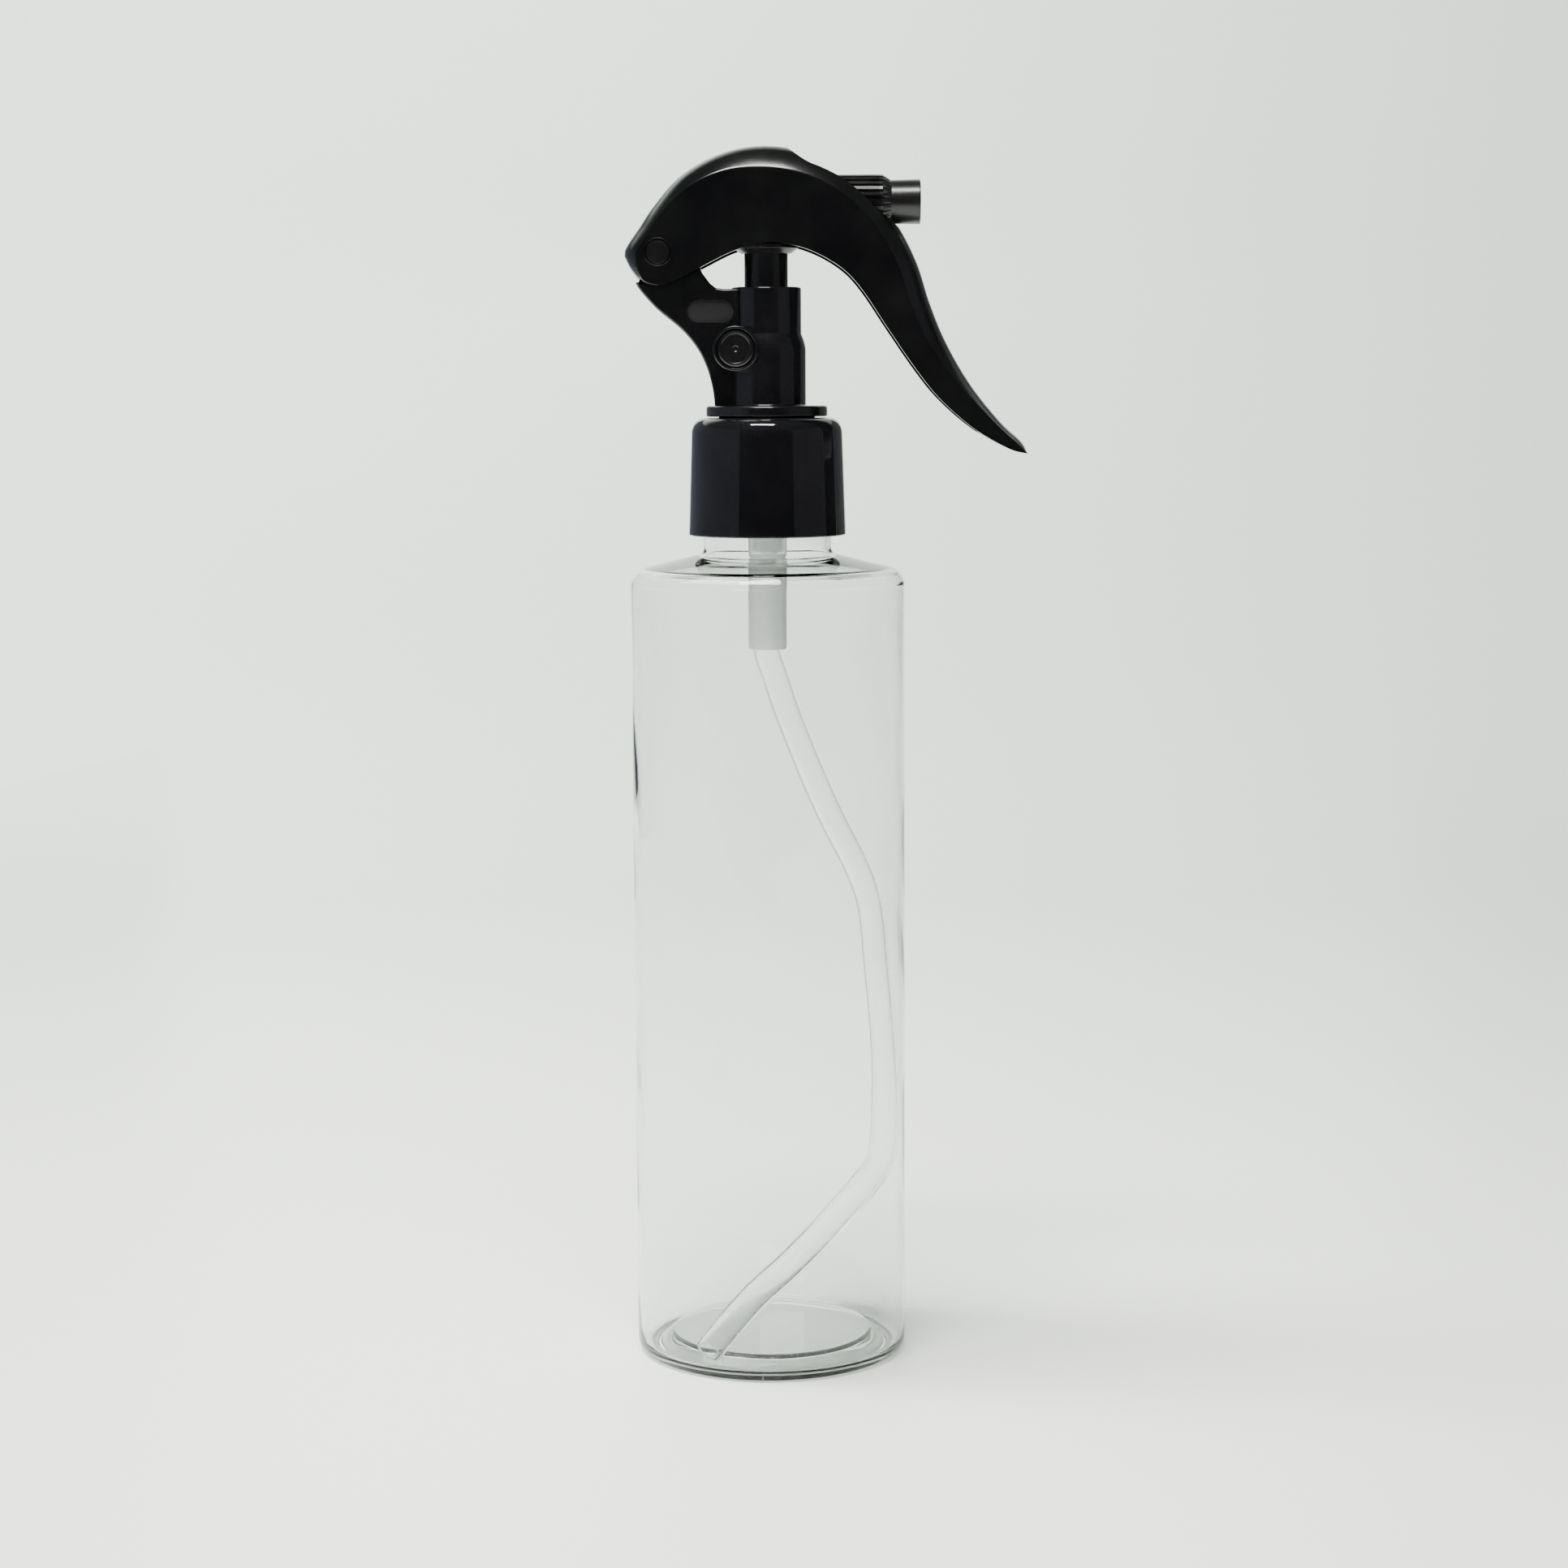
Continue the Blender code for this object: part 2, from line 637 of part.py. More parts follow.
def make_spring():
    """Stainless return spring between the barrel's ledge and the piston."""
    look = material("spring_steel", (0.62, 0.62, 0.6), 0.25, metallic=1.0)
    bottom = LEDGE + FIT_GAP + SPRING_WIRE_RADIUS
    top = PISTON_BOTTOM + SPRING_RECESS - FIT_GAP - SPRING_WIRE_RADIUS
    per_turn = 12
    steps = int(SPRING_TURNS * per_turn)
    path = []
    for i in range(steps + 1):
        angle = 2 * math.pi * i / per_turn
        rise = bottom + (top - bottom) * i / steps
        path.append((SPRING_RADIUS * math.cos(angle), SPRING_RADIUS * math.sin(angle), rise))
    return smooth(swept("return_spring", path, ring_section(SPRING_WIRE_RADIUS, 6), look))


def make_dip_tube():
    """Long tube that bows across the bottle, curls round the wall and ends in the trough by the heel."""
    look = material("tube_clear", (0.9, 0.92, 0.91), 0.3, alpha=0.5)
    wall = BOTTLE_RADIUS - BOTTLE_WALL - TUBE_RADIUS - TUBE_WALL_CLEARANCE
    floor = FLOOR_WALL + 0.1
    drop = TAIL_BOTTOM - floor
    straight = [(0, 0, SOCKET_TOP - FIT_GAP), (0, 0, (SOCKET_TOP + TAIL_BOTTOM) / 2), (0, 0, TAIL_BOTTOM)]
    # Distance from the axis as a share of the wall's, direction in degrees, height as a share of the drop
    bow = [
        (0.07, 30, 0.965),
        (0.21, 28, 0.901),
        (0.41, 27, 0.825),
        (0.64, 27, 0.750),
        (0.86, 27, 0.682),
        (0.985, 25, 0.620),
        (1.0, 18, 0.540),
        (1.0, 8, 0.455),
        (1.0, -4, 0.370),
        (1.0, -18, 0.285),
        (1.0, -38, 0.252),
        (1.0, -54, 0.222),
        (1.0, -68, 0.187),
        (1.0, -82, 0.150),
        (1.0, -97, 0.110),
        (1.0, -110, 0.066),
        (1.0, -121.5, 0.0245),
    ]
    curled = [
        (
            wall * reach * math.cos(math.radians(angle)),
            wall * reach * math.sin(math.radians(angle)),
            floor + drop * height,
        )
        for reach, angle, height in bow
    ]
    path = curve_through([*straight, *curled], 3)
    return smooth(
        swept("dip_tube", path, ring_section(TUBE_RADIUS, 12), look, bore=ring_section(TUBE_BORE, 12))
    )


def arm_outline():
    """The arm's side view: up the back from the flange, round the pin, and down the inner edge."""
    span = HINGE - FLANGE_TOP
    back = [
        (-9.3, -0.02),
        (-9.7, 0.110),
        (-10.7, 0.245),
        (-12.4, 0.372),
        (-15.2, 0.496),
        (-19.4, 0.624),
        (-21.9, 0.726),
        (-22.8, 0.781),
    ]
    points = [(x, FLANGE_TOP + span * share) for x, share in curve_through(back, 3)]
    points += [(-HINGE_BACK - 1.6, HINGE - 5.3), (-HINGE_BACK - 2.3, HINGE - 3.2)]
    points += arc((-HINGE_BACK, HINGE), ARM_HEAD_RADIUS, 190, 50, 7)
    points += [
        (-HINGE_BACK + 5.1, HINGE + 0.4),
        (-HINGE_BACK + 7.4, HINGE - 2.4),
        (-HINGE_BACK + 7.8, HINGE - 3.6),
        (-HINGE_BACK + 9.3, HINGE - 5.6),
        (-HINGE_BACK + 10.3, COLUMN_TOP - 0.15),
        (-HINGE_BACK + 11.7, COLUMN_TOP - 0.35),
        (-COLUMN_UPPER_RADIUS + 1.6, COLUMN_TOP - 0.35),
        (-COLUMN_UPPER_RADIUS + 1.6, FLANGE_TOP - 0.5),
    ]
    return points


def pill(name, reach, face):
    """A solid for cutting a shallow round-ended pocket in the arm's side."""
    half = (PILL_LENGTH - PILL_HEIGHT) / 2
    radius = PILL_HEIGHT / 2
    centre = (-10.0, FLANGE_TOP + 0.615 * (HINGE - FLANGE_TOP))
    outline = [
        *arc((centre[0] + half, centre[1]), radius, -90, 90, 8),
        *arc((centre[0] - half, centre[1]), radius, 90, 270, 8),
    ]
    low, high = sorted((face, face + reach))
    return prism(name, outline, low, high)


def make_body():
    """Sprayer body: flange, stepped column, swan-neck arm with the lever's pins, and lock bosses."""
    look = material("body_black", (0.007, 0.007, 0.008), 0.12)
    spigot = CLOSURE_HOLE_RADIUS - FIT_GAP
    step_top = FLANGE_TOP + COLUMN_STEP + COLUMN_STEP_HEIGHT
    profile = [
        (0, COLUMN_TOP),
        (COLUMN_UPPER_RADIUS - 0.25, COLUMN_TOP),
        (COLUMN_UPPER_RADIUS, COLUMN_TOP - 0.25),
        (COLUMN_UPPER_RADIUS, step_top),
        (COLUMN_UPPER_RADIUS + 0.35, step_top - 0.9),
        (COLUMN_RADIUS - 0.15, FLANGE_TOP + COLUMN_STEP + 0.5),
        (COLUMN_RADIUS, FLANGE_TOP + COLUMN_STEP - 0.2),
        (COLUMN_RADIUS, FLANGE_TOP),
        (FLANGE_RADIUS - 0.6, FLANGE_TOP),
        (FLANGE_RADIUS, FLANGE_TOP - 0.6),
        (FLANGE_RADIUS, FLANGE_BOTTOM + 0.6),
        (FLANGE_RADIUS - 0.6, FLANGE_BOTTOM),
        (spigot, FLANGE_BOTTOM),
        (spigot, HOUSING_FLANGE_TOP + FIT_GAP + 0.1),
        (0, HOUSING_FLANGE_TOP + FIT_GAP + 0.1),
    ]
    body = solid_turned("sprayer_body", profile, ROUND_MEDIUM, look)
    half = ARM_THICKNESS / 2
    join(body, bevel(prism("arm", arm_outline(), -half, half), ARM_EDGE_BEVEL, 1))
    inner_wall = LEVER_WIDTH / 2 - LEVER_WALL
    washer = cylinder("thrust_boss", ARM_HEAD_RADIUS - 0.2, -inner_wall + FIT_GAP, inner_wall - FIT_GAP)
    join(body, lay_along_y(washer, -HINGE_BACK, HINGE))
    pin = cylinder("pin", HINGE_PIN_RADIUS, -LEVER_WIDTH / 2 + 0.1, LEVER_WIDTH / 2 - 0.1, 20)
    join(body, lay_along_y(pin, -HINGE_BACK, HINGE))
    boss = cylinder("lock_boss", LOCK_BOSS_RADIUS, -LOCK_BOSS_REACH, LOCK_BOSS_REACH, ROUND_SMALL)
    join(body, lay_along_y(boss, LOCK_X, LOCK))
    cut(body, pill("near_pill", -1.0, -half + PILL_DEPTH))
    cut(body, pill("far_pill", 1.0, half - PILL_DEPTH))
    guide = STEM_RADIUS + FIT_GAP
    room = BARREL_RADIUS + FIT_GAP
    bore_profile = [
        (0, COLUMN_TOP + 2),
        (guide, COLUMN_TOP + 2),
        (guide, GUIDE_TOP + FIT_GAP),
        (room, GUIDE_TOP + FIT_GAP),
        (room, HOUSING_FLANGE_TOP - 2),
        (0, HOUSING_FLANGE_TOP - 2),
    ]
    cut(body, solid_turned("bore", bore_profile, ROUND_SMALL))
    lock_bore = cylinder("lock_bore", LOCK_RADIUS + 0.2, -LOCK_BOSS_REACH - 2, LOCK_BOSS_REACH + 2)
    cut(body, lay_along_y(lock_bore, LOCK_X, LOCK))
    return smooth(body)


def make_lock():
    """Push-through lock button, cut away so that the plunger's stem passes in both positions."""
    look = material("lock_black", (0.008, 0.008, 0.009), 0.18)
    near = LOCK_BOSS_REACH - 0.2
    far = LOCK_BOSS_REACH + LOCK_TRAVEL
    profile = [
        (0, near - 0.7),
        (LOCK_RADIUS - 1.3, near - 0.5),
        (LOCK_RADIUS - 0.6, near),
        (LOCK_RADIUS - 0.2, near),
        (LOCK_RADIUS, near - 0.2),
        (LOCK_RADIUS, 0.2 - far),
        (LOCK_RADIUS - 0.2, -far),
        (LOCK_RADIUS - 0.6, -far),
        (LOCK_RADIUS - 1.3, 0.5 - far),
        (0, 0.7 - far),
    ]
    lock = lay_along_y(solid_turned("lock_button", profile, ROUND_SMALL, look), LOCK_X, LOCK)
    reach = STEM_RADIUS + FIT_GAP + 0.1
    low = (-reach, -reach, LOCK - LOCK_RADIUS - 2)
    high = (reach, reach + LOCK_TRAVEL, LOCK + LOCK_RADIUS + 2)
    return smooth(cut(lock, block("stem_way", low, high)))


# The lever's side view, from its hinge pin: x, z and how far the crowned roof stands proud of the side's edge
ROOF = [
    (-0.2, -5.95, 0.05),
    (-2.6, -5.1, 0.5),
    (-3.7, -3.0, 1.3),
    (-3.8, -0.3, 2.35),
    (0.4, 6.5, 2.1),
    (5.5, 11.4, 2.7),
    (11.9, 14.2, 3.4),
    (18.3, 14.8, 4.1),
    (24.8, 14.0, 4.15),
    (30.8, 11.7, 4.0),
    (35.9, 7.9, 3.75),
    (40.2, 2.7, 3.5),
    (43.3, -3.4, 3.5),
    (45.6, -10.2, 3.4),
    (49.1, -17.3, 2.9),
    (54.6, -24.6, 1.8),
    (60.6, -31.0, 1.0),
    (66.3, -36.2, 0.05),
]
UNDERSIDE = [
    (-0.2, -5.95),
    (3.2, -5.0),
    (7.4, -2.9),
    (13.1, -0.1),
    (18.3, 1.45),
    (22.9, 1.3),
    (27.8, -0.1),
    (32.8, -3.0),
    (36.5, -6.9),
    (41.2, -13.9),
    (46.1, -21.0),
    (50.5, -26.4),
    (56.6, -31.7),
    (62.9, -35.3),
    (66.3, -36.2),
]


def lever_outline(drop, proud):
    """Roof (x, z, crown) and underside points, moved in by drop, the crown lowered by proud."""
    roof = [(x - HINGE_BACK, z + HINGE, crown) for x, z, crown in curve_through(ROOF, 3)]
    moved = []
    normals = []
    for i, (x, z, crown) in enumerate(roof):
        ahead = roof[min(i + 1, len(roof) - 1)]
        behind = roof[max(i - 1, 0)]
        along = Vector((ahead[0] - behind[0], ahead[1] - behind[1])).normalized()
        normal = Vector((-along.y, along.x))
        normals.append(normal)
        moved.append((x - normal.x * drop, z - normal.y * drop, max(crown - proud, 0.1)))
    return moved, normals


def resampled(points, count):
    """The same open line with a chosen number of points, evenly spaced along it."""
    lengths = [0.0]
    for start, end in zip(points, points[1:]):
        lengths.append(lengths[-1] + math.dist(start, end))
    found = []
    span = 0
    for i in range(count):
        reach = lengths[-1] * i / (count - 1)
        while span < len(points) - 2 and lengths[span + 1] < reach:
            span += 1
        share = (reach - lengths[span]) / (lengths[span + 1] - lengths[span])
        found.append(tuple(a + (b - a) * share for a, b in zip(points[span], points[span + 1])))
    return found


def lever_solid(name, roof, normals, below, half_width, look=None):
    """Flat sides between roof and underside, closed above by a crown that follows a superellipse across."""
    across = 8
    shape = bmesh.new()
    rows = []
    for (x, z, crown), normal, (x_below, z_below) in zip(roof, normals, below):
        row = []
        for j in range(across + 1):
            share = math.sin((j / across - 0.5) * math.pi)
            lift = crown * (1 - abs(share) ** CROWN_POWER)
            place = (x + normal.x * lift, half_width * share, z + normal.y * lift)
            row.append(shape.verts.new(place))
        row += [shape.verts.new((x_below, side * half_width, z_below)) for side in (1, -1)]
        rows.append(row)
    tube_faces(rows, shape)
    shape.faces.new(rows[0])
    shape.faces.new(rows[-1])
    return object_from(name, shape, look)


def make_trigger():
    """Swan-shaped lever: an open-bottomed shell hung on the arm, slotted above for the nozzle."""
    look = material("trigger_black", (0.012, 0.012, 0.013), 0.32)
    half = LEVER_WIDTH / 2
    inner = half - LEVER_WALL
    under = [(x - HINGE_BACK, z + HINGE) for x, z in curve_through(UNDERSIDE, 2)]
    roof, normals = lever_outline(0.0, 0.0)
    trigger = lever_solid("trigger", roof, normals, resampled(under[1:-1], len(roof)), half, look)
    hole = cylinder("hinge_hole", HINGE_PIN_RADIUS + HINGE_PIN_CLEARANCE, -half - 2, half + 2, 20)
    cut(trigger, lever_hollow(under, inner), lay_along_y(hole, -HINGE_BACK, HINGE), *slot_tools())
    join(trigger, fork(-1, inner), fork(1, inner))
    return smooth(trigger)


def lever_hollow(under, inner):
    """The lever's inside, open below from behind the hinge to just short of the tip."""
    roof, normals = lever_outline(CAVITY_DROP, LEVER_WALL - CAVITY_DROP)
    first = 5
    last = len(roof) - 5
    outside = []
    for i in range(1, len(under) - 1):
        along = Vector(under[i + 1]) - Vector(under[i - 1])
        away = Vector((along.y, -along.x)).normalized() * 2.5
        outside.append((under[i][0] + away.x, under[i][1] + away.y))
    foot = (roof[first][0], outside[2][1] - 1.0)
    outside = [point for point in outside[3:] if point[0] < roof[last - 1][0] - 5.0]
    below = resampled([foot, *outside], last - first)
    return lever_solid("hollow", roof[first:last], normals[first:last], below, inner)


def slot_tools():
    """The slot that the nozzle rises through: round at the rear, with a round floor in the lever's front."""
    half = NOZZLE_RIB_RADIUS + FIT_GAP
    start = SLOT_START - HINGE_BACK + half
    front = start + 30
    plan = [*arc((start, 0.0), half, 90, 270, 11), (front, -half), (front, half)]
    way = prism("slot", plan, NOZZLE_AXIS, HINGE + 30)
    for vertex in way.data.vertices:
        x, y, z = vertex.co
        vertex.co = (x, -z, y)
    floor = cylinder("slot_floor", half - 0.1, start, front - 1, ROUND_SMALL)
    return way, lay_along_x(floor, NOZZLE_AXIS)


def fork(side, inner):
    """A horseshoe rib on a side wall's inner face that drives the head's trunnion."""
    centre = (0.0, TRUNNION)
    outline = [
        *arc(centre, TRUNNION_RADIUS + TRUNNION_CLEARANCE + 1.35, -10, 190, 8),
        *arc(centre, TRUNNION_RADIUS + TRUNNION_CLEARANCE, 190, -10, 8),
    ]
    low, high = sorted((side * (inner - 1.2), side * (inner + 0.4)))
    return prism("fork", outline, low, high)


def make_actuator():
    """Head and stem: trunnions for the lever, a passage for the liquid and the nozzle's post."""
    look = material("actuator_black", (0.01, 0.01, 0.011), 0.25)
    profile = [
        (0, HEAD_BOTTOM + 12.6),
        (HEAD_BODY_RADIUS - 0.8, HEAD_BOTTOM + 12.6),
        (HEAD_BODY_RADIUS, HEAD_BOTTOM + 11.8),
        (HEAD_BODY_RADIUS, HEAD_BOTTOM + 0.8),
        (STEM_RADIUS, HEAD_BOTTOM + 0.4),
        (STEM_RADIUS, STEM_END + 0.3),
        (STEM_RADIUS - 0.3, STEM_END),
        (0, STEM_END),
    ]
    head = solid_turned("actuator", profile, ROUND_SMALL, look)
    base_profile = [
        (0, HEAD_BOTTOM + 1.7),
        (1.0, HEAD_BOTTOM + 1.7),
        (1.0, HEAD_BOTTOM + 1.0),
        (0.78, HEAD_BOTTOM),
        (0, HEAD_BOTTOM),
    ]
    base = solid_turned("head_base", base_profile, ROUND_SMALL)
    for vertex in base.data.vertices:
        vertex.co.x *= HEAD_HALF_LENGTH
        vertex.co.y *= HEAD_HALF_WIDTH
    join(head, base)
    trunnion = cylinder("trunnion", TRUNNION_RADIUS, -HEAD_HALF_WIDTH, HEAD_HALF_WIDTH, ROUND_FINE)
    join(head, lay_along_y(trunnion, 0.0, TRUNNION))
    post_radius = NOZZLE_BORE - FIT_GAP
    post = [
        (0, POST_END),
        (post_radius - 0.2, POST_END),
        (post_radius, POST_END - 0.2),
        (post_radius, POST_START),
        (post_radius + 1.0, POST_START),
        (post_radius + 1.0, 0.5),
        (0, 0.5),
    ]
    join(head, lay_along_x(solid_turned("post", post, ROUND_SMALL), NOZZLE_AXIS))
    chamber_top = STEM_END + 12.4
    way = [
        (0, NOZZLE_AXIS),
        (1.0, NOZZLE_AXIS),
        (1.0, chamber_top + 1.0),
        (2.0, chamber_top),
        (2.0, STEM_END + 8.4),
        (STEM_BORE, STEM_END + 8.4),
        (STEM_BORE, STEM_END - 1),
        (0, STEM_END - 1),
    ]
    cut(head, solid_turned("riser", way, ROUND_FINE))
    bore = [
        (0, POST_END + 1),
        (2.0, POST_END + 1),
        (2.0, POST_END - 3.6),
        (1.0, POST_END - 3.6),
        (1.0, -0.5),
        (0, -0.5),
    ]
    cut(head, lay_along_x(solid_turned("spout_way", bore, ROUND_FINE), NOZZLE_AXIS))
    return smooth(head)


def make_swirl_core():
    """Plug in the post's end whose side flats and face spin the liquid before the orifice."""
    look = material("core_natural", (0.8, 0.82, 0.8), 0.4)
    profile = [
        (0, POST_END + 1.6),
        (1.0, POST_END + 1.6),
        (1.0, POST_END + 1.3),
        (NOZZLE_BORE - 0.5, POST_END + 1.3),
        (NOZZLE_BORE - 0.5, POST_END + FIT_GAP),
        (1.7, POST_END + FIT_GAP),
        (1.7, POST_END - 3.0),
        (0, POST_END - 3.0),
    ]
    core = lay_along_x(solid_turned("swirl_core", profile, ROUND_FINE, look), NOZZLE_AXIS)
    for side in (-1, 1):
        low, high = sorted((side * 1.3, side * 4.0))
        flat = block("flat", (POST_END - 4, low, NOZZLE_AXIS - 0.5), (POST_END + 3, high, NOZZLE_AXIS + 0.5))
        cut(core, flat)
    return smooth(core)


def make_nozzle():
    """Twist nozzle: ribbed grip, short cone and plain barrel, with a cup-shaped mouth round the orifice."""
    look = material("nozzle_black", (0.02, 0.02, 0.021), 0.45)
    rib_end = NOZZLE_REAR + NOZZLE_RIB_LENGTH
    barrel_start = rib_end + NOZZLE_CONE_LENGTH
    front = barrel_start + NOZZLE_BARREL_LENGTH
    valley = NOZZLE_RIB_RADIUS - NOZZLE_RIB_DEPTH
    stations = [
        (NOZZLE_REAR, NOZZLE_RIB_RADIUS, valley),
        (rib_end - 0.4, NOZZLE_RIB_RADIUS - 0.1, valley),
        (rib_end, NOZZLE_RIB_RADIUS - 0.2, valley),
        (barrel_start, NOZZLE_BARREL_RADIUS, NOZZLE_BARREL_RADIUS),
        (front - 0.3, NOZZLE_BARREL_RADIUS + 0.1, NOZZLE_BARREL_RADIUS + 0.1),
        (front, NOZZLE_BARREL_RADIUS - 0.15, NOZZLE_BARREL_RADIUS - 0.15),
    ]
    sides = NOZZLE_RIBS * 2
    shape = bmesh.new()
    rings = []
    for x, ridge, groove in stations:
        ring = []
        for i in range(sides):
            angle = 2 * math.pi * i / sides
            radius = ridge if i % 2 else groove
            place = (x, radius * math.sin(angle), NOZZLE_AXIS + radius * math.cos(angle))
            ring.append(shape.verts.new(place))
        rings.append(ring)
    tube_faces(rings, shape)
    shape.faces.new(rings[0])
    shape.faces.new(rings[-1])
    nozzle = object_from("nozzle", shape, look)
    web = front - NOZZLE_CUP_DEPTH
    seal_groove = NOZZLE_BORE + 0.45
    inside = [
        (0, front + 1),
        (NOZZLE_CUP_RADIUS, front + 1),
        (NOZZLE_CUP_RADIUS - 0.2, web),
        (ORIFICE_RADIUS, web),
        (ORIFICE_RADIUS, web - 1.0),
        (NOZZLE_BORE, web - 1.0),
        (NOZZLE_BORE, NOZZLE_REAR + 2.4),
        (seal_groove, NOZZLE_REAR + 2.4),
        (seal_groove, NOZZLE_REAR + 1.0),
        (NOZZLE_BORE, NOZZLE_REAR + 1.0),
        (NOZZLE_BORE, NOZZLE_REAR - 1),
        (0, NOZZLE_REAR - 1),
    ]
    cut(nozzle, lay_along_x(solid_turned("nozzle_bore", inside, ROUND_SMALL), NOZZLE_AXIS))
    return smooth(nozzle)


def make_nozzle_seal():
    """Rubber ring in the nozzle's groove that slides along the post as the nozzle is screwed out."""
    look = material("nozzle_seal_rubber", (0.04, 0.04, 0.04), 0.6)
    inner = NOZZLE_BORE - FIT_GAP + 0.1
    outer = NOZZLE_BORE + 0.35
    start = NOZZLE_REAR + 1.1
    end = NOZZLE_REAR + 2.3
    profile = [(inner, end), (outer, end), (outer, start), (inner, start)]
    return smooth(lay_along_x(turned("nozzle_seal", profile, ROUND_SMALL, look), NOZZLE_AXIS))


def origin_at(obj, place):
    """Moves an object's origin, in millimetres, leaving its shape where it is."""
    obj.data.transform(shifted_by(-place[0], -place[1], -place[2]))
    obj.location = Vector(place) * MM


def centre_on_origin(pieces):
    """Parents every piece to one empty, moved so that the object's middle along X is at the origin."""
    bpy.context.view_layer.update()
    across = [(piece.matrix_world @ vertex.co).x for piece in pieces for vertex in piece.data.vertices]
    frame = bpy.data.objects.new("bottle_axis", None)
    bpy.context.scene.collection.objects.link(frame)
    for piece in pieces:
        piece.parent = frame
    frame.location.x = -(min(across) + max(across)) / 2


def main():
    for obj in list(bpy.data.objects):
        bpy.data.objects.remove(obj)
    glass = material("ball_glass", (0.75, 0.8, 0.78), 0.05, alpha=0.7)
    outlet = make_ball("outlet_ball", OUTLET_BALL_RADIUS, 0.9, STEM_END + 6.9, glass)
    inlet = make_ball("inlet_ball", BALL_RADIUS, 1.1, BALL_SEAT, glass.copy())
    fixed = [make_bottle(), make_gasket(), make_closure(), make_housing(), make_stem_guide()]
    fixed += [make_stem_seal(), make_ball_retainer(), make_spring(), make_dip_tube(), make_body()]
    fixed += [outlet, inlet]
    moving = {
        make_trigger(): (-HINGE_BACK, 0, HINGE),
        make_lock(): (LOCK_X, 0, LOCK),
        make_nozzle(): (NOZZLE_REAR, 0, NOZZLE_AXIS),
        make_nozzle_seal(): (NOZZLE_REAR, 0, NOZZLE_AXIS),
    }
    for piece, place in moving.items():
        origin_at(piece, place)
    plunger = [make_actuator(), make_main_stem(), make_piston(), make_swirl_core()]
    centre_on_origin([*fixed, *moving, *plunger])


main()
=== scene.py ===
from math import cos, pi, radians, sin, tan

import bmesh
import bpy
import numpy as np
from mathutils import Matrix, Vector


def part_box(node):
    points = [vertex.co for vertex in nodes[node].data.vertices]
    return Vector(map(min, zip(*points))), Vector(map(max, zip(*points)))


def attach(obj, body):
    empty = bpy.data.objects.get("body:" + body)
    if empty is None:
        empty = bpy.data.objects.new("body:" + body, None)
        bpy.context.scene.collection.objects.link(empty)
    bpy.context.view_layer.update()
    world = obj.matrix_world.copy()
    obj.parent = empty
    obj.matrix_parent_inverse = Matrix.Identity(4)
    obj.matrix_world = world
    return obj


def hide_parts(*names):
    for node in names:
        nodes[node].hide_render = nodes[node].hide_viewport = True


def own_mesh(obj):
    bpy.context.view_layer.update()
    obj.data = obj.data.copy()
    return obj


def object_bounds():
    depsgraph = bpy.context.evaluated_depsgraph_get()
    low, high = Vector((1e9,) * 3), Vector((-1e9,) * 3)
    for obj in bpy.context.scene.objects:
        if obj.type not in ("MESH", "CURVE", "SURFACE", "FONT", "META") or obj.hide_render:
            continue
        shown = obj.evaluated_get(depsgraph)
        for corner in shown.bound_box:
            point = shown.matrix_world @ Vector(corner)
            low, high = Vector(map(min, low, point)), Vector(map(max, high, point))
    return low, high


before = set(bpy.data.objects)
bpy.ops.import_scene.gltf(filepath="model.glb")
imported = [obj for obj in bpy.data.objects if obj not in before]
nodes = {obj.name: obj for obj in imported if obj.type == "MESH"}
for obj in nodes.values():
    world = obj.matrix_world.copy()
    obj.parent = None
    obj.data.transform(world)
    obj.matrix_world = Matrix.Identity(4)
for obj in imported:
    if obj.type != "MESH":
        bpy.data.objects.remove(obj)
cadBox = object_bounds()
mm = 0.001

bottleLow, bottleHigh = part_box("bottle")
axisX = (bottleLow.x + bottleHigh.x) / 2  # the bottle stands off the origin along X
rim = bottleHigh.z / mm  # heights below are counted from the rim, in millimetres
flangeTop = rim + 6.4
columnTop = rim + 27.6
hingeX, hingeZ = hingeAxis = -19.3, rim + 33.8
headBottom = rim + 33.55
nozzleZ = rim + 42.7
lockX, lockZ = -5.5, rim + 16.6


# camera
cameraSetup = {"place": (2.8, -592.0, 179.8), "pitch": 7.116, "roll": -0.2716, "lens": 74.42}


def aimCamera(setup):
    pitch, roll = radians(setup["pitch"]), radians(setup["roll"])
    ahead = Vector((0, cos(pitch), -sin(pitch)))
    up = Vector((0, sin(pitch), cos(pitch)))
    side = Vector((1, 0, 0))
    tiltedSide = side * cos(roll) + up * sin(roll)
    tiltedUp = up * cos(roll) - side * sin(roll)
    turn = Matrix((tiltedSide, tiltedUp, -ahead)).transposed()
    data = bpy.data.cameras.new("camera")
    data.lens = setup["lens"]
    data.sensor_width = 36
    data.clip_start, data.clip_end = 0.01, 20
    camera = bpy.data.objects.new("camera", data)
    bpy.context.scene.collection.objects.link(camera)
    x, y, z = setup["place"]
    camera.matrix_world = Matrix.Translation((x * mm + axisX, y * mm, z * mm)) @ turn.to_4x4()
    bpy.context.scene.camera = camera


aimCamera(cameraSetup)
print("camera placed")


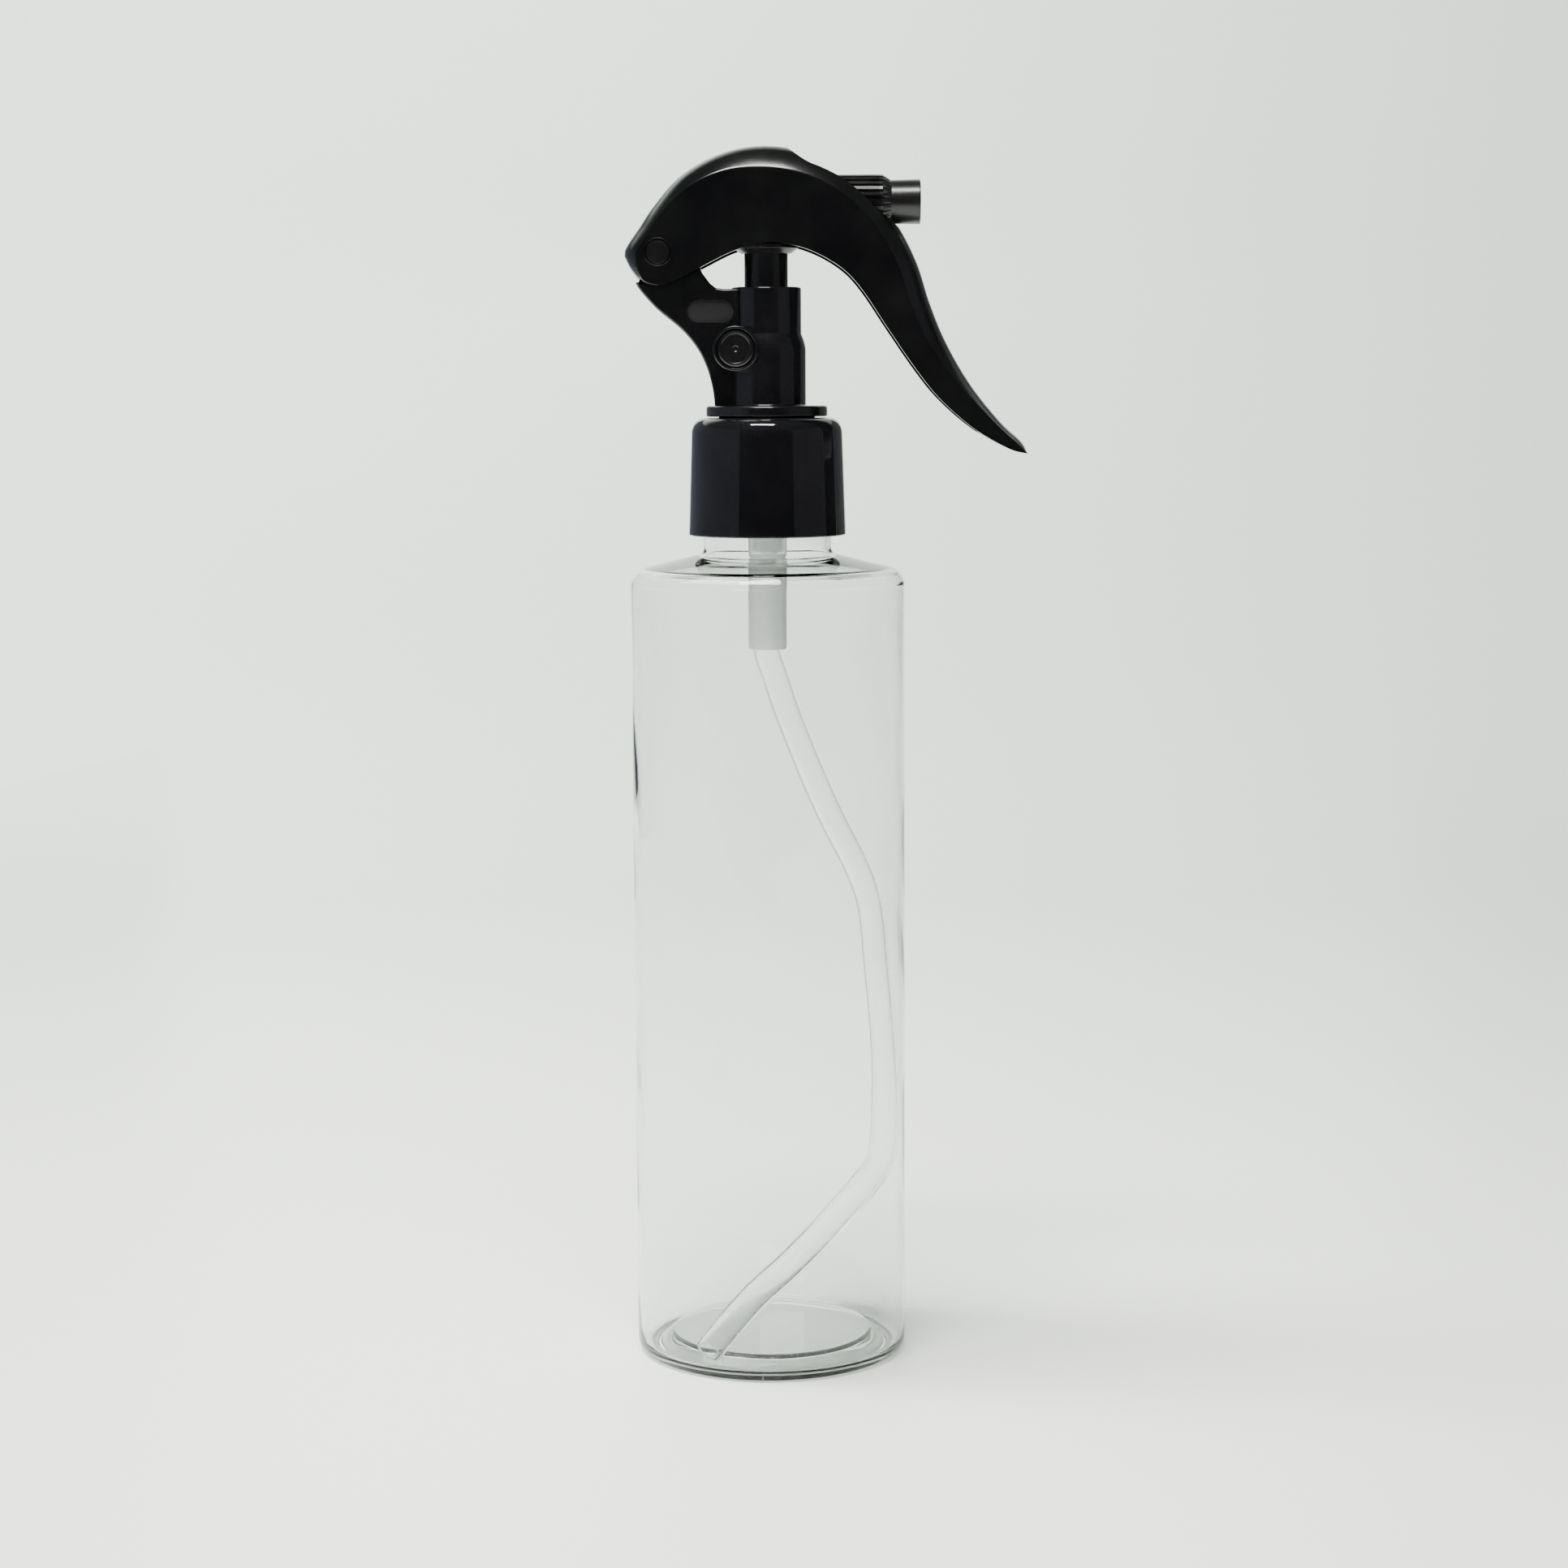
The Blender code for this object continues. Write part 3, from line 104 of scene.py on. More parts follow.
# mesh helpers
def finishMesh(name, points, faces, material, sharpAngle=40):
    # Points in millimetres round the bottle's axis become an object in metres, welded and facing outwards.
    mesh = bpy.data.meshes.new(name)
    world = np.asarray(points, float).reshape(-1, 3) * mm
    world[:, 0] += axisX
    mesh.from_pydata(world.tolist(), [], [tuple(face) for face in faces])
    shape = bmesh.new()
    shape.from_mesh(mesh)
    bmesh.ops.remove_doubles(shape, verts=shape.verts, dist=2e-7)
    bmesh.ops.dissolve_degenerate(shape, edges=shape.edges, dist=1e-8)
    bmesh.ops.recalc_face_normals(shape, faces=shape.faces)
    shape.to_mesh(mesh)
    shape.free()
    mesh.shade_smooth()
    mesh.set_sharp_from_angle(angle=radians(sharpAngle))
    mesh.materials.append(material)
    made = bpy.data.objects.new(name, mesh)
    bpy.context.scene.collection.objects.link(made)
    return made


def gridFaces(rows, columns, loopRows=False, loopColumns=True):
    # Quads (i,j) (i,j+1) (i+1,j+1) (i+1,j) over a grid, with either direction joined round.
    i = np.arange(rows if loopRows else rows - 1)[:, None]
    j = np.arange(columns if loopColumns else columns - 1)[None, :]
    after, beside = (i + 1) % rows, (j + 1) % columns
    corners = [i * columns + j, i * columns + beside, after * columns + beside, after * columns + j]
    return np.stack(np.broadcast_arrays(*corners), -1).reshape(-1, 4).tolist()


def surface(name, grid, material, loopRows=False, loopColumns=True, caps=False, sharpAngle=40):
    rows, columns = grid.shape[:2]
    faces = gridFaces(rows, columns, loopRows, loopColumns)
    if caps:
        faces.append(list(range(columns)))
        faces.append(list(range((rows - 1) * columns, rows * columns)))
    return finishMesh(name, grid, faces, material, sharpAngle)


def rounded(corners, closed=True, steps=6):
    # Corners (across, up, fillet) become a line whose corners are arcs tangent to both neighbours.
    # An arc starts fillet * tan(turn / 2) before its corner; one more point just outside each end
    # keeps the flats flat when the surface is shaded smooth.
    found = []
    count = len(corners)
    for i, (x, y, fillet) in enumerate(corners):
        here = np.array((x, y), float)
        if not closed and i in (0, count - 1) or fillet <= 0:
            found.append(here)
            continue
        before = np.array(corners[i - 1][:2], float) - here
        after = np.array(corners[(i + 1) % count][:2], float) - here
        lengthBefore, lengthAfter = np.linalg.norm(before), np.linalg.norm(after)
        before, after = before / lengthBefore, after / lengthAfter
        between = np.arccos(np.clip(before @ after, -1, 1))
        if between > radians(176):
            found.append(here)
            continue
        reach = min(fillet / tan(between / 2), 0.48 * lengthBefore, 0.48 * lengthAfter)
        radius = reach * tan(between / 2)
        start, end = here + before * reach, here + after * reach
        middle = here + (before + after) / np.linalg.norm(before + after) * radius / sin(between / 2)
        first, last = start - middle, end - middle
        sweep = pi - between
        found.append(start + before * min(0.08 * reach, 0.03))
        for t in np.linspace(0, 1, steps + 1):
            found.append(middle + (first * sin((1 - t) * sweep) + last * sin(t * sweep)) / sin(sweep))
        found.append(end + after * min(0.08 * reach, 0.03))
    return np.array(found)


def ellipseArc(centre, radii, start, end, steps):
    angle = np.radians(np.linspace(start, end, steps + 1))
    return np.stack([centre[0] + radii[0] * np.cos(angle), centre[1] + radii[1] * np.sin(angle)], -1)


def turnedGrid(profile, sides, ripple=None):
    # P(s, a) = (r(s) cos a, r(s) sin a, z(s)), with ripple(a, z) added to r.
    angle = np.linspace(0, 2 * pi, sides, endpoint=False)[None, :]
    radius, height = profile[:, :1], profile[:, 1:2]
    radius = radius + (ripple(angle, height, radius) if ripple else 0 * angle)
    return np.stack([radius * np.cos(angle), radius * np.sin(angle), height + 0 * angle], -1)


def turned(name, profile, sides, material, ripple=None, closed=True):
    return surface(name, turnedGrid(profile, sides, ripple), material, loopRows=closed)


def alongX(grid, height):
    # (x, y, z) round Z becomes a shape round the +X line at that height.
    return np.stack([grid[..., 2], grid[..., 1], height - grid[..., 0]], -1)


def alongY(grid, x, height):
    return np.stack([grid[..., 0] + x, -grid[..., 2], grid[..., 1] + height], -1)


def turnedAlongY(name, profile, sides, axis, material, closed=False):
    # Like turned, round a line along Y that passes through axis (x, z).
    return surface(name, alongY(turnedGrid(profile, sides), *axis), material, loopRows=closed)


def splineThrough(points, count):
    # A Catmull-Rom curve through the points, read at evenly spaced arc lengths.
    points = np.asarray(points, float)
    padded = np.concatenate([2 * points[:1] - points[1:2], points, 2 * points[-1:] - points[-2:-1]])
    t = np.linspace(0, 1, 24, endpoint=False)[:, None]
    pieces = []
    for a, b, c, d in zip(padded, padded[1:], padded[2:], padded[3:]):
        pieces.append(
            0.5 * (2 * b + (c - a) * t + (2 * a - 5 * b + 4 * c - d) * t**2 + (3 * b - a - 3 * c + d) * t**3)
        )
    line = np.concatenate([*pieces, points[-1:]])
    return evenly(line, count)


def evenly(line, count):
    # The same line with count points, evenly spaced along its length.
    steps = np.linalg.norm(np.diff(line[:, : min(3, line.shape[1])], axis=0), axis=1)
    lengths = np.concatenate([[0], np.cumsum(steps)])
    where = np.linspace(0, lengths[-1], count)
    return np.stack([np.interp(where, lengths, line[:, k]) for k in range(line.shape[1])], -1)


def sweptGrid(path, section):
    # Carries section (m, 2) along path (n, 3): P(i, j) = path_i + side_i u_j + up_i v_j, with least turn.
    tangent = np.gradient(path, axis=0)
    tangent /= np.linalg.norm(tangent, axis=1)[:, None]
    side = np.cross(tangent[0], (0, 1, 0))
    if np.linalg.norm(side) < 1e-3:
        side = np.cross(tangent[0], (1, 0, 0))
    frames = []
    for direction in tangent:
        side = side - direction * (side @ direction)
        side = side / np.linalg.norm(side)
        frames.append((side, np.cross(direction, side)))
    sides = np.array([f[0] for f in frames])[:, None, :]
    ups = np.array([f[1] for f in frames])[:, None, :]
    return path[:, None, :] + sides * section[None, :, :1] + ups * section[None, :, 1:2]


def circle(radius, count):
    angle = np.linspace(0, 2 * pi, count, endpoint=False)
    return np.stack([radius * np.cos(angle), radius * np.sin(angle)], -1)


def carve(target, cutters):
    # Applies exact Booleans with the cutters, then removes them.
    for cutter in cutters:
        modifier = target.modifiers.new("carve", "BOOLEAN")
        modifier.operation = "DIFFERENCE"
        modifier.solver = "EXACT"
        modifier.object = cutter
    graph = bpy.context.evaluated_depsgraph_get()
    result = bpy.data.meshes.new_from_object(target.evaluated_get(graph))
    target.modifiers.clear()
    target.data = result
    for cutter in cutters:
        bpy.data.objects.remove(cutter)
    target.data.shade_smooth()
    target.data.set_sharp_from_angle(angle=radians(38))
    return target


def fit(piece, body, slotName, *replaced):
    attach(piece, body)
    if replaced:
        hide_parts(*replaced)
    return piece


# shared shader groups
def newGroup(name, inputs, outputs):
    group = bpy.data.node_groups.new(name, "ShaderNodeTree")
    for socketName, kind, value in inputs:
        socket = group.interface.new_socket(socketName, in_out="INPUT", socket_type=kind)
        if value is not None:
            socket.default_value = value
    for socketName, kind in outputs:
        group.interface.new_socket(socketName, in_out="OUTPUT", socket_type=kind)
    return group, group.nodes.new("NodeGroupInput"), group.nodes.new("NodeGroupOutput")


def addNode(tree, kind, vector=None, **settings):
    node = tree.nodes.new(kind)
    if vector:
        tree.links.new(vector, node.inputs["Vector"])
    for key, value in settings.items():
        if key in node.inputs:
            node.inputs[key].default_value = value
        else:
            setattr(node, key, value)
    return node


def ramp(tree, source, low, high, lowColour=(0, 0, 0, 1), highColour=(1, 1, 1, 1)):
    node = tree.nodes.new("ShaderNodeValToRGB")
    node.color_ramp.elements[0].position = low
    node.color_ramp.elements[1].position = high
    node.color_ramp.elements[0].color = lowColour
    node.color_ramp.elements[1].color = highColour
    tree.links.new(source, node.inputs["Fac"])
    return node.outputs["Color"]


def maths(tree, operation, first, second=None):
    node = addNode(tree, "ShaderNodeMath", operation=operation)
    tree.links.new(first, node.inputs[0])
    if isinstance(second, float):
        node.inputs[1].default_value = second
    elif second:
        tree.links.new(second, node.inputs[1])
    return node.outputs[0]


def darkRamp(tree, source, low, high):
    return ramp(tree, source, low, high, (1, 1, 1, 1), (0, 0, 0, 1))


def buildMouldGrain():
    # Height = fine grain + slow orange peel; Mask = cloudy patches of handling.
    group, ins, outs = newGroup(
        "mouldGrain",
        [
            ("Vector", "NodeSocketVector", None),
            ("Grain Scale", "NodeSocketFloat", 2600.0),
            ("Peel Scale", "NodeSocketFloat", 260.0),
            ("Peel Share", "NodeSocketFloat", 0.4),
        ],
        [("Height", "NodeSocketFloat"), ("Mask", "NodeSocketFloat")],
    )
    link = group.links.new
    place = ins.outputs["Vector"]
    grain = addNode(group, "ShaderNodeTexNoise", place, Detail=3.0, Roughness=0.6)
    peel = addNode(group, "ShaderNodeTexNoise", place, Detail=1.0, Roughness=0.4)
    patches = addNode(group, "ShaderNodeTexNoise", place, Scale=95.0, Detail=6.0, Roughness=0.62)
    link(ins.outputs["Grain Scale"], grain.inputs["Scale"])
    link(ins.outputs["Peel Scale"], peel.inputs["Scale"])
    blend = addNode(group, "ShaderNodeMix", data_type="FLOAT")
    link(ins.outputs["Peel Share"], blend.inputs["Factor"])
    link(grain.outputs["Fac"], blend.inputs["A"])
    link(peel.outputs["Fac"], blend.inputs["B"])
    link(blend.outputs["Result"], outs.inputs["Height"])
    link(ramp(group, patches.outputs["Fac"], 0.38, 0.72), outs.inputs["Mask"])
    return group


def buildScuffs():
    # Lines = thin stretched-noise scratches in two directions; Specks = sparse dust.
    group, ins, outs = newGroup(
        "scuffs",
        [
            ("Vector", "NodeSocketVector", None),
            ("Scale", "NodeSocketFloat", 60.0),
            ("Density", "NodeSocketFloat", 0.5),
        ],
        [("Lines", "NodeSocketFloat"), ("Specks", "NodeSocketFloat")],
    )
    link = group.links.new
    place = ins.outputs["Vector"]
    found = []
    for turn, stretch in (((0.4, 0.2, 0.9), (1.0, 14.0, 1.6)), ((1.2, 0.8, 2.1), (11.0, 1.0, 1.3))):
        mapping = addNode(group, "ShaderNodeMapping", place, Rotation=turn, Scale=stretch)
        noise = addNode(group, "ShaderNodeTexNoise", mapping.outputs["Vector"], Detail=2.0, Roughness=0.5)
        link(ins.outputs["Scale"], noise.inputs["Scale"])
        away = maths(group, "SUBTRACT", noise.outputs["Fac"], 0.5)
        found.append(darkRamp(group, maths(group, "ABSOLUTE", away), 0.0, 0.012))
    gate = addNode(group, "ShaderNodeTexNoise", place, Scale=55.0, Detail=2.0)
    both = maths(group, "MAXIMUM", *found)
    kept = maths(group, "MULTIPLY", both, ramp(group, gate.outputs["Fac"], 0.5, 0.62))
    link(maths(group, "MULTIPLY", kept, ins.outputs["Density"]), outs.inputs["Lines"])
    cells = addNode(group, "ShaderNodeTexVoronoi", place, Scale=420.0)
    link(darkRamp(group, cells.outputs["Distance"], 0.05, 0.09), outs.inputs["Specks"])
    return group


mouldGrain = buildMouldGrain()
scuffs = buildScuffs()
print("shader groups built")


# materials
def startMaterial(name, **constants):
    material = bpy.data.materials.new(name)
    material.use_nodes = True
    tree = material.node_tree
    shader = tree.nodes["Principled BSDF"]
    for key, value in constants.items():
        shader.inputs[key.replace("_", " ")].default_value = value
    place = tree.nodes.new("ShaderNodeTexCoord").outputs["Object"]
    return material, tree, shader, place


def useGroup(tree, group, place, **values):
    node = tree.nodes.new("ShaderNodeGroup")
    node.node_tree = group
    tree.links.new(place, node.inputs["Vector"])
    for key, value in values.items():
        node.inputs[key.replace("_", " ")].default_value = value
    return node


def mixColour(tree, factor, first, second):
    node = tree.nodes.new("ShaderNodeMix")
    node.data_type = "RGBA"
    tree.links.new(factor, node.inputs["Factor"])
    node.inputs["A"].default_value = (*first, 1)
    node.inputs["B"].default_value = (*second, 1)
    return node.outputs["Result"]


def remap(tree, source, low, high):
    # Takes 0..1 to low..high.
    node = addNode(tree, "ShaderNodeMapRange")
    node.inputs["To Min"].default_value = low
    node.inputs["To Max"].default_value = high
    tree.links.new(source, node.inputs["Value"])
    return node.outputs["Result"]


def paint(tree, shader, factor, first, second):
    tree.links.new(mixColour(tree, factor, first, second), shader.inputs["Base Color"])


def polish(tree, shader, source, low, high):
    tree.links.new(remap(tree, source, low, high), shader.inputs["Roughness"])


def addBump(tree, shader, height, strength, distance, base=None):
    bump = addNode(tree, "ShaderNodeBump", Strength=strength, Distance=distance)
    tree.links.new(height, bump.inputs["Height"])
    if base:
        tree.links.new(base, bump.inputs["Normal"])
    tree.links.new(bump.outputs["Normal"], shader.inputs["Normal"])
    return bump.outputs["Normal"]


def blackPlastic(name, colour, worn, gloss, grain, scratches, wear=0.3):
    # Moulded black: roughness drifts in patches by gloss (least, spread); grain is (scale, depth, share
    # of orange peel); scratches of that depth lift the colour a little.
    material, tree, shader, place = startMaterial(name, IOR=1.5)
    texture = useGroup(tree, mouldGrain, place, Grain_Scale=grain[0], Peel_Share=grain[2])
    marks = useGroup(tree, scuffs, place, Scale=170.0, Density=wear)
    tint = tree.nodes.new("ShaderNodeMix")
    tint.data_type = "RGBA"
    tree.links.new(marks.outputs["Lines"], tint.inputs["Factor"])
    tree.links.new(mixColour(tree, texture.outputs["Mask"], colour, worn), tint.inputs["A"])
    tint.inputs["B"].default_value = (*[min(1, c * 3 + 0.02) for c in worn], 1)
    tree.links.new(tint.outputs["Result"], shader.inputs["Base Color"])
    polish(tree, shader, texture.outputs["Mask"], gloss[0], gloss[0] + gloss[1])
    grained = addBump(tree, shader, texture.outputs["Height"], 1.0, grain[1])
    addBump(tree, shader, marks.outputs["Lines"], 0.5, scratches, grained)
    return material


# name: colour, worn colour, gloss (least, spread), grain (scale, depth, peel), scratch depth, wear
blackFinish = {
    "closure": ((0.002, 0.002, 0.0025), (0.0035, 0.0035, 0.004), (0.045, 0.03), (900, 1.2e-6, 0.85), -2e-6),
    "body": ((0.002, 0.002, 0.0024), (0.0035, 0.0035, 0.004), (0.13, 0.08), (1400, 3e-6, 0.5), -3e-6),
    "lever": (
        (0.0012, 0.0012, 0.0015), (0.0024, 0.0024, 0.0027), (0.17, 0.07), (2600, 4e-6, 0.15), -1e-6, 0.0
    ),
    "nozzle": ((0.002, 0.002, 0.002), (0.0035, 0.0035, 0.0035), (0.27, 0.1), (2200, 6e-6, 0.2), -3e-6),
    "pocket": ((0.002, 0.002, 0.0024), (0.004, 0.004, 0.0044), (0.42, 0.1), (2600, 2e-5, 0.1), -2e-6),
    "lock": ((0.0022, 0.0022, 0.0026), (0.004, 0.004, 0.0044), (0.16, 0.1), (1800, 4e-6, 0.3), -3e-6),
    "head": ((0.002, 0.002, 0.0023), (0.0035, 0.0035, 0.004), (0.2, 0.1), (1800, 4e-6, 0.3), -3e-6),
}
blacks = {name: blackPlastic(name + "Black", *finish) for name, finish in blackFinish.items()}


def makeClearPet():
    # Clear blown plastic: faint tint, slow draw lines, a few hair scratches and dust.
    material, tree, shader, place = startMaterial("clearPet", IOR=1.4, Metallic=0.0, Transmission_Weight=1.0)
    marks = useGroup(tree, scuffs, place, Scale=42.0, Density=0.6)
    clouds = addNode(tree, "ShaderNodeTexNoise", place, Scale=38.0, Detail=5.0)
    paint(tree, shader, clouds.outputs["Fac"], (0.955, 0.966, 0.955), (0.94, 0.951, 0.94))
    polish(tree, shader, maths(tree, "MAXIMUM", marks.outputs["Lines"], marks.outputs["Specks"]), 0.0, 0.3)
    stretch = addNode(tree, "ShaderNodeMapping", place, Scale=(90.0, 90.0, 14.0))
    waves = addNode(
        tree, "ShaderNodeTexNoise", stretch.outputs["Vector"], Scale=1.0, Detail=2.0, Roughness=0.4
    )
    addBump(tree, shader, waves.outputs["Fac"], 0.5, 0.00004)
    return material


def milky(name, colour, deep, roughness, transmission, subsurface, index=1.49):
    # Unpigmented polypropylene: milky, with soft flow clouds and a silky surface.
    material, tree, shader, place = startMaterial(
        name, IOR=index, Metallic=0.0, Transmission_Weight=transmission, Subsurface_Weight=subsurface
    )
    shader.inputs["Subsurface Radius"].default_value = (0.002, 0.002, 0.0018)
    shader.inputs["Subsurface Scale"].default_value = 1.0
    grain = useGroup(tree, mouldGrain, place, Grain_Scale=1500.0, Peel_Share=0.5)
    paint(tree, shader, grain.outputs["Mask"], colour, deep)
    polish(tree, shader, grain.outputs["Mask"], roughness, roughness + 0.12)
    addBump(tree, shader, grain.outputs["Height"], 0.6, 0.00001)
    return material


def makeRubber(name, colour, dusty, scale):
    material, tree, shader, place = startMaterial(name, IOR=1.5)
    grain = useGroup(tree, mouldGrain, place, Grain_Scale=scale, Peel_Share=0.2)
    paint(tree, shader, grain.outputs["Mask"], colour, dusty)
    polish(tree, shader, grain.outputs["Mask"], 0.55, 0.8)
    addBump(tree, shader, grain.outputs["Height"], 0.8, 0.00003)
    return material


def makeFoam():
    # Closed-cell foam: cell walls from a fine Voronoi, whiter on the ridges.
    material, tree, shader, place = startMaterial("gasketFoam", IOR=1.45)
    cells = addNode(tree, "ShaderNodeTexVoronoi", place, Scale=2600.0, feature="DISTANCE_TO_EDGE")
    walls = ramp(tree, cells.outputs["Distance"], 0.02, 0.2)
    paint(tree, shader, walls, (0.9, 0.9, 0.88), (0.74, 0.75, 0.73))
    shader.inputs["Roughness"].default_value = 0.8
    addBump(tree, shader, cells.outputs["Distance"], -0.7, 0.00008)
    return material


def makeSpringSteel():
    # Drawn wire: bright, with lines drawn round the coil and a little tarnish.
    material, tree, shader, place = startMaterial("springSteel", Metallic=1.0)
    stretch = addNode(tree, "ShaderNodeMapping", place, Scale=(300.0, 300.0, 5200.0))
    lines = addNode(tree, "ShaderNodeTexNoise", stretch.outputs["Vector"], Scale=1.0, Detail=4.0)
    clouds = addNode(tree, "ShaderNodeTexNoise", place, Scale=260.0, Detail=4.0)
    tarnish = ramp(tree, clouds.outputs["Fac"], 0.4, 0.7)
    paint(tree, shader, tarnish, (0.66, 0.65, 0.63), (0.5, 0.48, 0.45))
    polish(tree, shader, lines.outputs["Fac"], 0.15, 0.35)
    addBump(tree, shader, lines.outputs["Fac"], 0.4, 0.000008)
    return material


def makeBallGlass():
    # Ground glass ball: clear body with a faintly frosted, pitted skin.
    material, tree, shader, place = startMaterial(
        "ballGlass", IOR=1.52, Metallic=0.0, Transmission_Weight=0.9
    )
    grain = useGroup(tree, mouldGrain, place, Grain_Scale=3200.0, Peel_Share=0.1)
    paint(tree, shader, grain.outputs["Mask"], (0.85, 0.9, 0.88), (0.78, 0.84, 0.82))
    polish(tree, shader, grain.outputs["Mask"], 0.04, 0.2)
    addBump(tree, shader, grain.outputs["Height"], 0.4, 0.000006)
    return material


clearPet = makeClearPet()
housingMilky = milky("housingMilky", (0.985, 0.995, 0.985), (0.96, 0.972, 0.96), 0.34, 0.72, 0.4, 1.3)
tubeMilky = milky("tubeMilky", (0.995, 1.0, 0.995), (0.985, 0.992, 0.985), 0.12, 1.0, 0.0, 1.18)
sealRubber = makeRubber("sealRubber", (0.012, 0.012, 0.012), (0.03, 0.03, 0.029), 1800.0)
gasketFoam = makeFoam()
springSteel = makeSpringSteel()
ballGlass = makeBallGlass()
print("materials made")


# bottle
bottleSize = {
    "radius": 25.0,
    "wall": 0.75,
    "heel": (1.8, 2.3),
    "foot": (21.9, 23.2),
    "shoulderStart": rim - 26.3,
    "shoulderFillet": 3.6,
    "slope": 13.8,
    "neckRadius": 11.65,
    "neckBore": 10.6,
    "neckFoot": rim - 20.2,
    "neckStep": rim - 16.0,
    "finishRadius": 10.75,
    "finishBore": 9.1,
    "sides": 288,
}


def makeBottle(size):
    # A closed profile spun round the axis: outside from heel to rim, down the inside, and under the floor.
    outer, inner = size["radius"], size["radius"] - size["wall"]
    fillet, slope = size["shoulderFillet"], size["slope"]
    start = size["shoulderStart"]
    shoulder = ellipseArc((outer - fillet, start), (fillet, fillet), 0, 90 - slope, 12)
    wallRise = np.stack([np.full(40, outer), np.linspace(size["heel"][1] + 1, start - 1, 40)], -1)
    heel = ellipseArc((size["foot"][1], size["heel"][1]), size["heel"], -90, 0, 12)
    neckOutside = rounded(
        [
            (*shoulder[-1], 0),
            (size["neckRadius"], size["neckFoot"], 1.1),
            (size["neckRadius"], size["neckStep"], 0.3),
            (size["finishRadius"], size["neckStep"] + 0.05, 0.2),
            (size["finishRadius"], rim, 0.3),
            (size["finishBore"], rim, 0.3),
            (size["finishBore"], size["neckStep"] + 0.8, 0.6),
            (size["neckBore"], size["neckStep"] - 0.5, 0.6),
            (size["neckBore"], size["neckFoot"] - 1.05, 2.2),
            (inner - fillet + 0.75, start + fillet - 0.95, 0),
        ],
        closed=False,
    )[1:-1]
    insideShoulder = ellipseArc((inner - 2.85, start), (2.85, 2.85), 90 - slope, 0, 12)
    insideWall = np.stack([np.full(40, inner), np.linspace(start - 1, 5.0, 40)], -1)
    floor = rounded(
        [
            (inner, 4.2, 0),
            (inner - 0.25, 2.1, 1.2),
            (22.5, 1.12, 0.9),
            (20.9, 1.1, 0.9),
            (18.3, 3.35, 1.4),
            (10.0, 4.1, 6.0),
            (0.0, 4.35, 0),
        ],
        closed=False,
    )
    under = rounded(
        [
            (0.0, 3.3, 0),
            (9.5, 3.05, 6.0),
            (18.2, 2.35, 1.2),
            (19.6, 1.7, 1.0),
            (21.9, 0.0, 0.5),
            (size["foot"][1], 0.0, 0),
        ],
        closed=False,
    )[:-1]
    outside = [heel, wallRise, shoulder, neckOutside]
    profile = np.concatenate([*outside, insideShoulder, insideWall, floor, under])

    def ripple(angle, height, radius):
        # Blown-wall unevenness on the inside only, faded out at the neck and floor.
        insideOnly = ((radius > inner - 0.02) & (radius < inner + 0.02)).astype(float)
        slow = 0.05 * np.sin(2 * angle + 0.05 * height) + 0.035 * np.sin(5 * angle - 0.11 * height + 1.3)
        fine = 0.018 * np.sin(11 * angle + 0.23 * height + 0.7) + 0.02 * np.sin(0.31 * height + 3 * angle)
        return insideOnly * (slow + fine - 0.1)

    bottle = turned("bottleWall", profile, size["sides"], clearPet, ripple)
    return fit(bottle, "bottle", "bottle", "bottle")


def screwRidge(name, wall, height, top, phase, material):
    # A rounded ridge on a helix: z = top - pitch (turns - t), fading in and out over an eighth of a turn.
    turns, pitch, count = 1.5, 3.175, 150
    t = np.linspace(0, turns, count)[:, None]
    grow = np.clip(np.minimum(t, turns - t) * 8, 0.04, 1)
    lowerFlank = [(-0.2, -0.75), (0.5, -0.62), (0.85, -0.45), (1.0, -0.2)]
    across = np.array(lowerFlank + [(out, -along) for out, along in lowerFlank[::-1]])
    radius = wall + height * np.where(across[None, :, 0] < 0, across[None, :, 0], across[None, :, 0] * grow)
    z = top - pitch * (turns - t) + phase + across[None, :, 1]
    angle = 2 * pi * t
    grid = np.stack([radius * np.cos(angle), radius * np.sin(angle), z + 0 * radius], -1)
    return surface(name, grid, material, caps=True)


makeBottle(bottleSize)
fit(screwRidge("neckThread", 10.75, 1.15, rim - 2.6, 0.0, clearPet), "bottle", "bottle")
print("bottle made")


# closure
closureSize = {
    "top": rim + 4.25,
    "bottom": rim - 17.0,
    "topRadius": 13.75,
    "bottomRadius": 14.35,
    "hole": 9.0,
    "bore": 12.4,
}


def makeClosure(size):
    shoulder = ellipseArc((size["topRadius"] - 2.4, size["top"] - 2.9), (2.4, 2.9), 90, 0, 14)
    skirt = rounded(
        [
            (size["topRadius"], size["top"] - 2.9, 0),
            (size["bottomRadius"], size["bottom"], 0.25),
            (size["bottomRadius"] - 1.1, size["bottom"], 0.25),
            (size["bore"], size["bottom"] + 1.2, 0.5),
            (size["bore"], size["top"] - 1.5, 0.4),
            (size["hole"], size["top"] - 1.5, 0.2),
            (size["hole"], size["top"], 0.25),
            (size["topRadius"] - 2.4, size["top"], 0),
        ],
        closed=False,
    )
    profile = np.concatenate([shoulder, skirt[1:-1]])
    return fit(turned("closureShell", profile, 256, blacks["closure"]), "closure", "closure", "closure")


makeClosure(closureSize)
fit(screwRidge("closureThread", 12.4, -1.0, rim - 2.6, -1.5875, blacks["closure"]), "closure", "closure")
print("closure made")


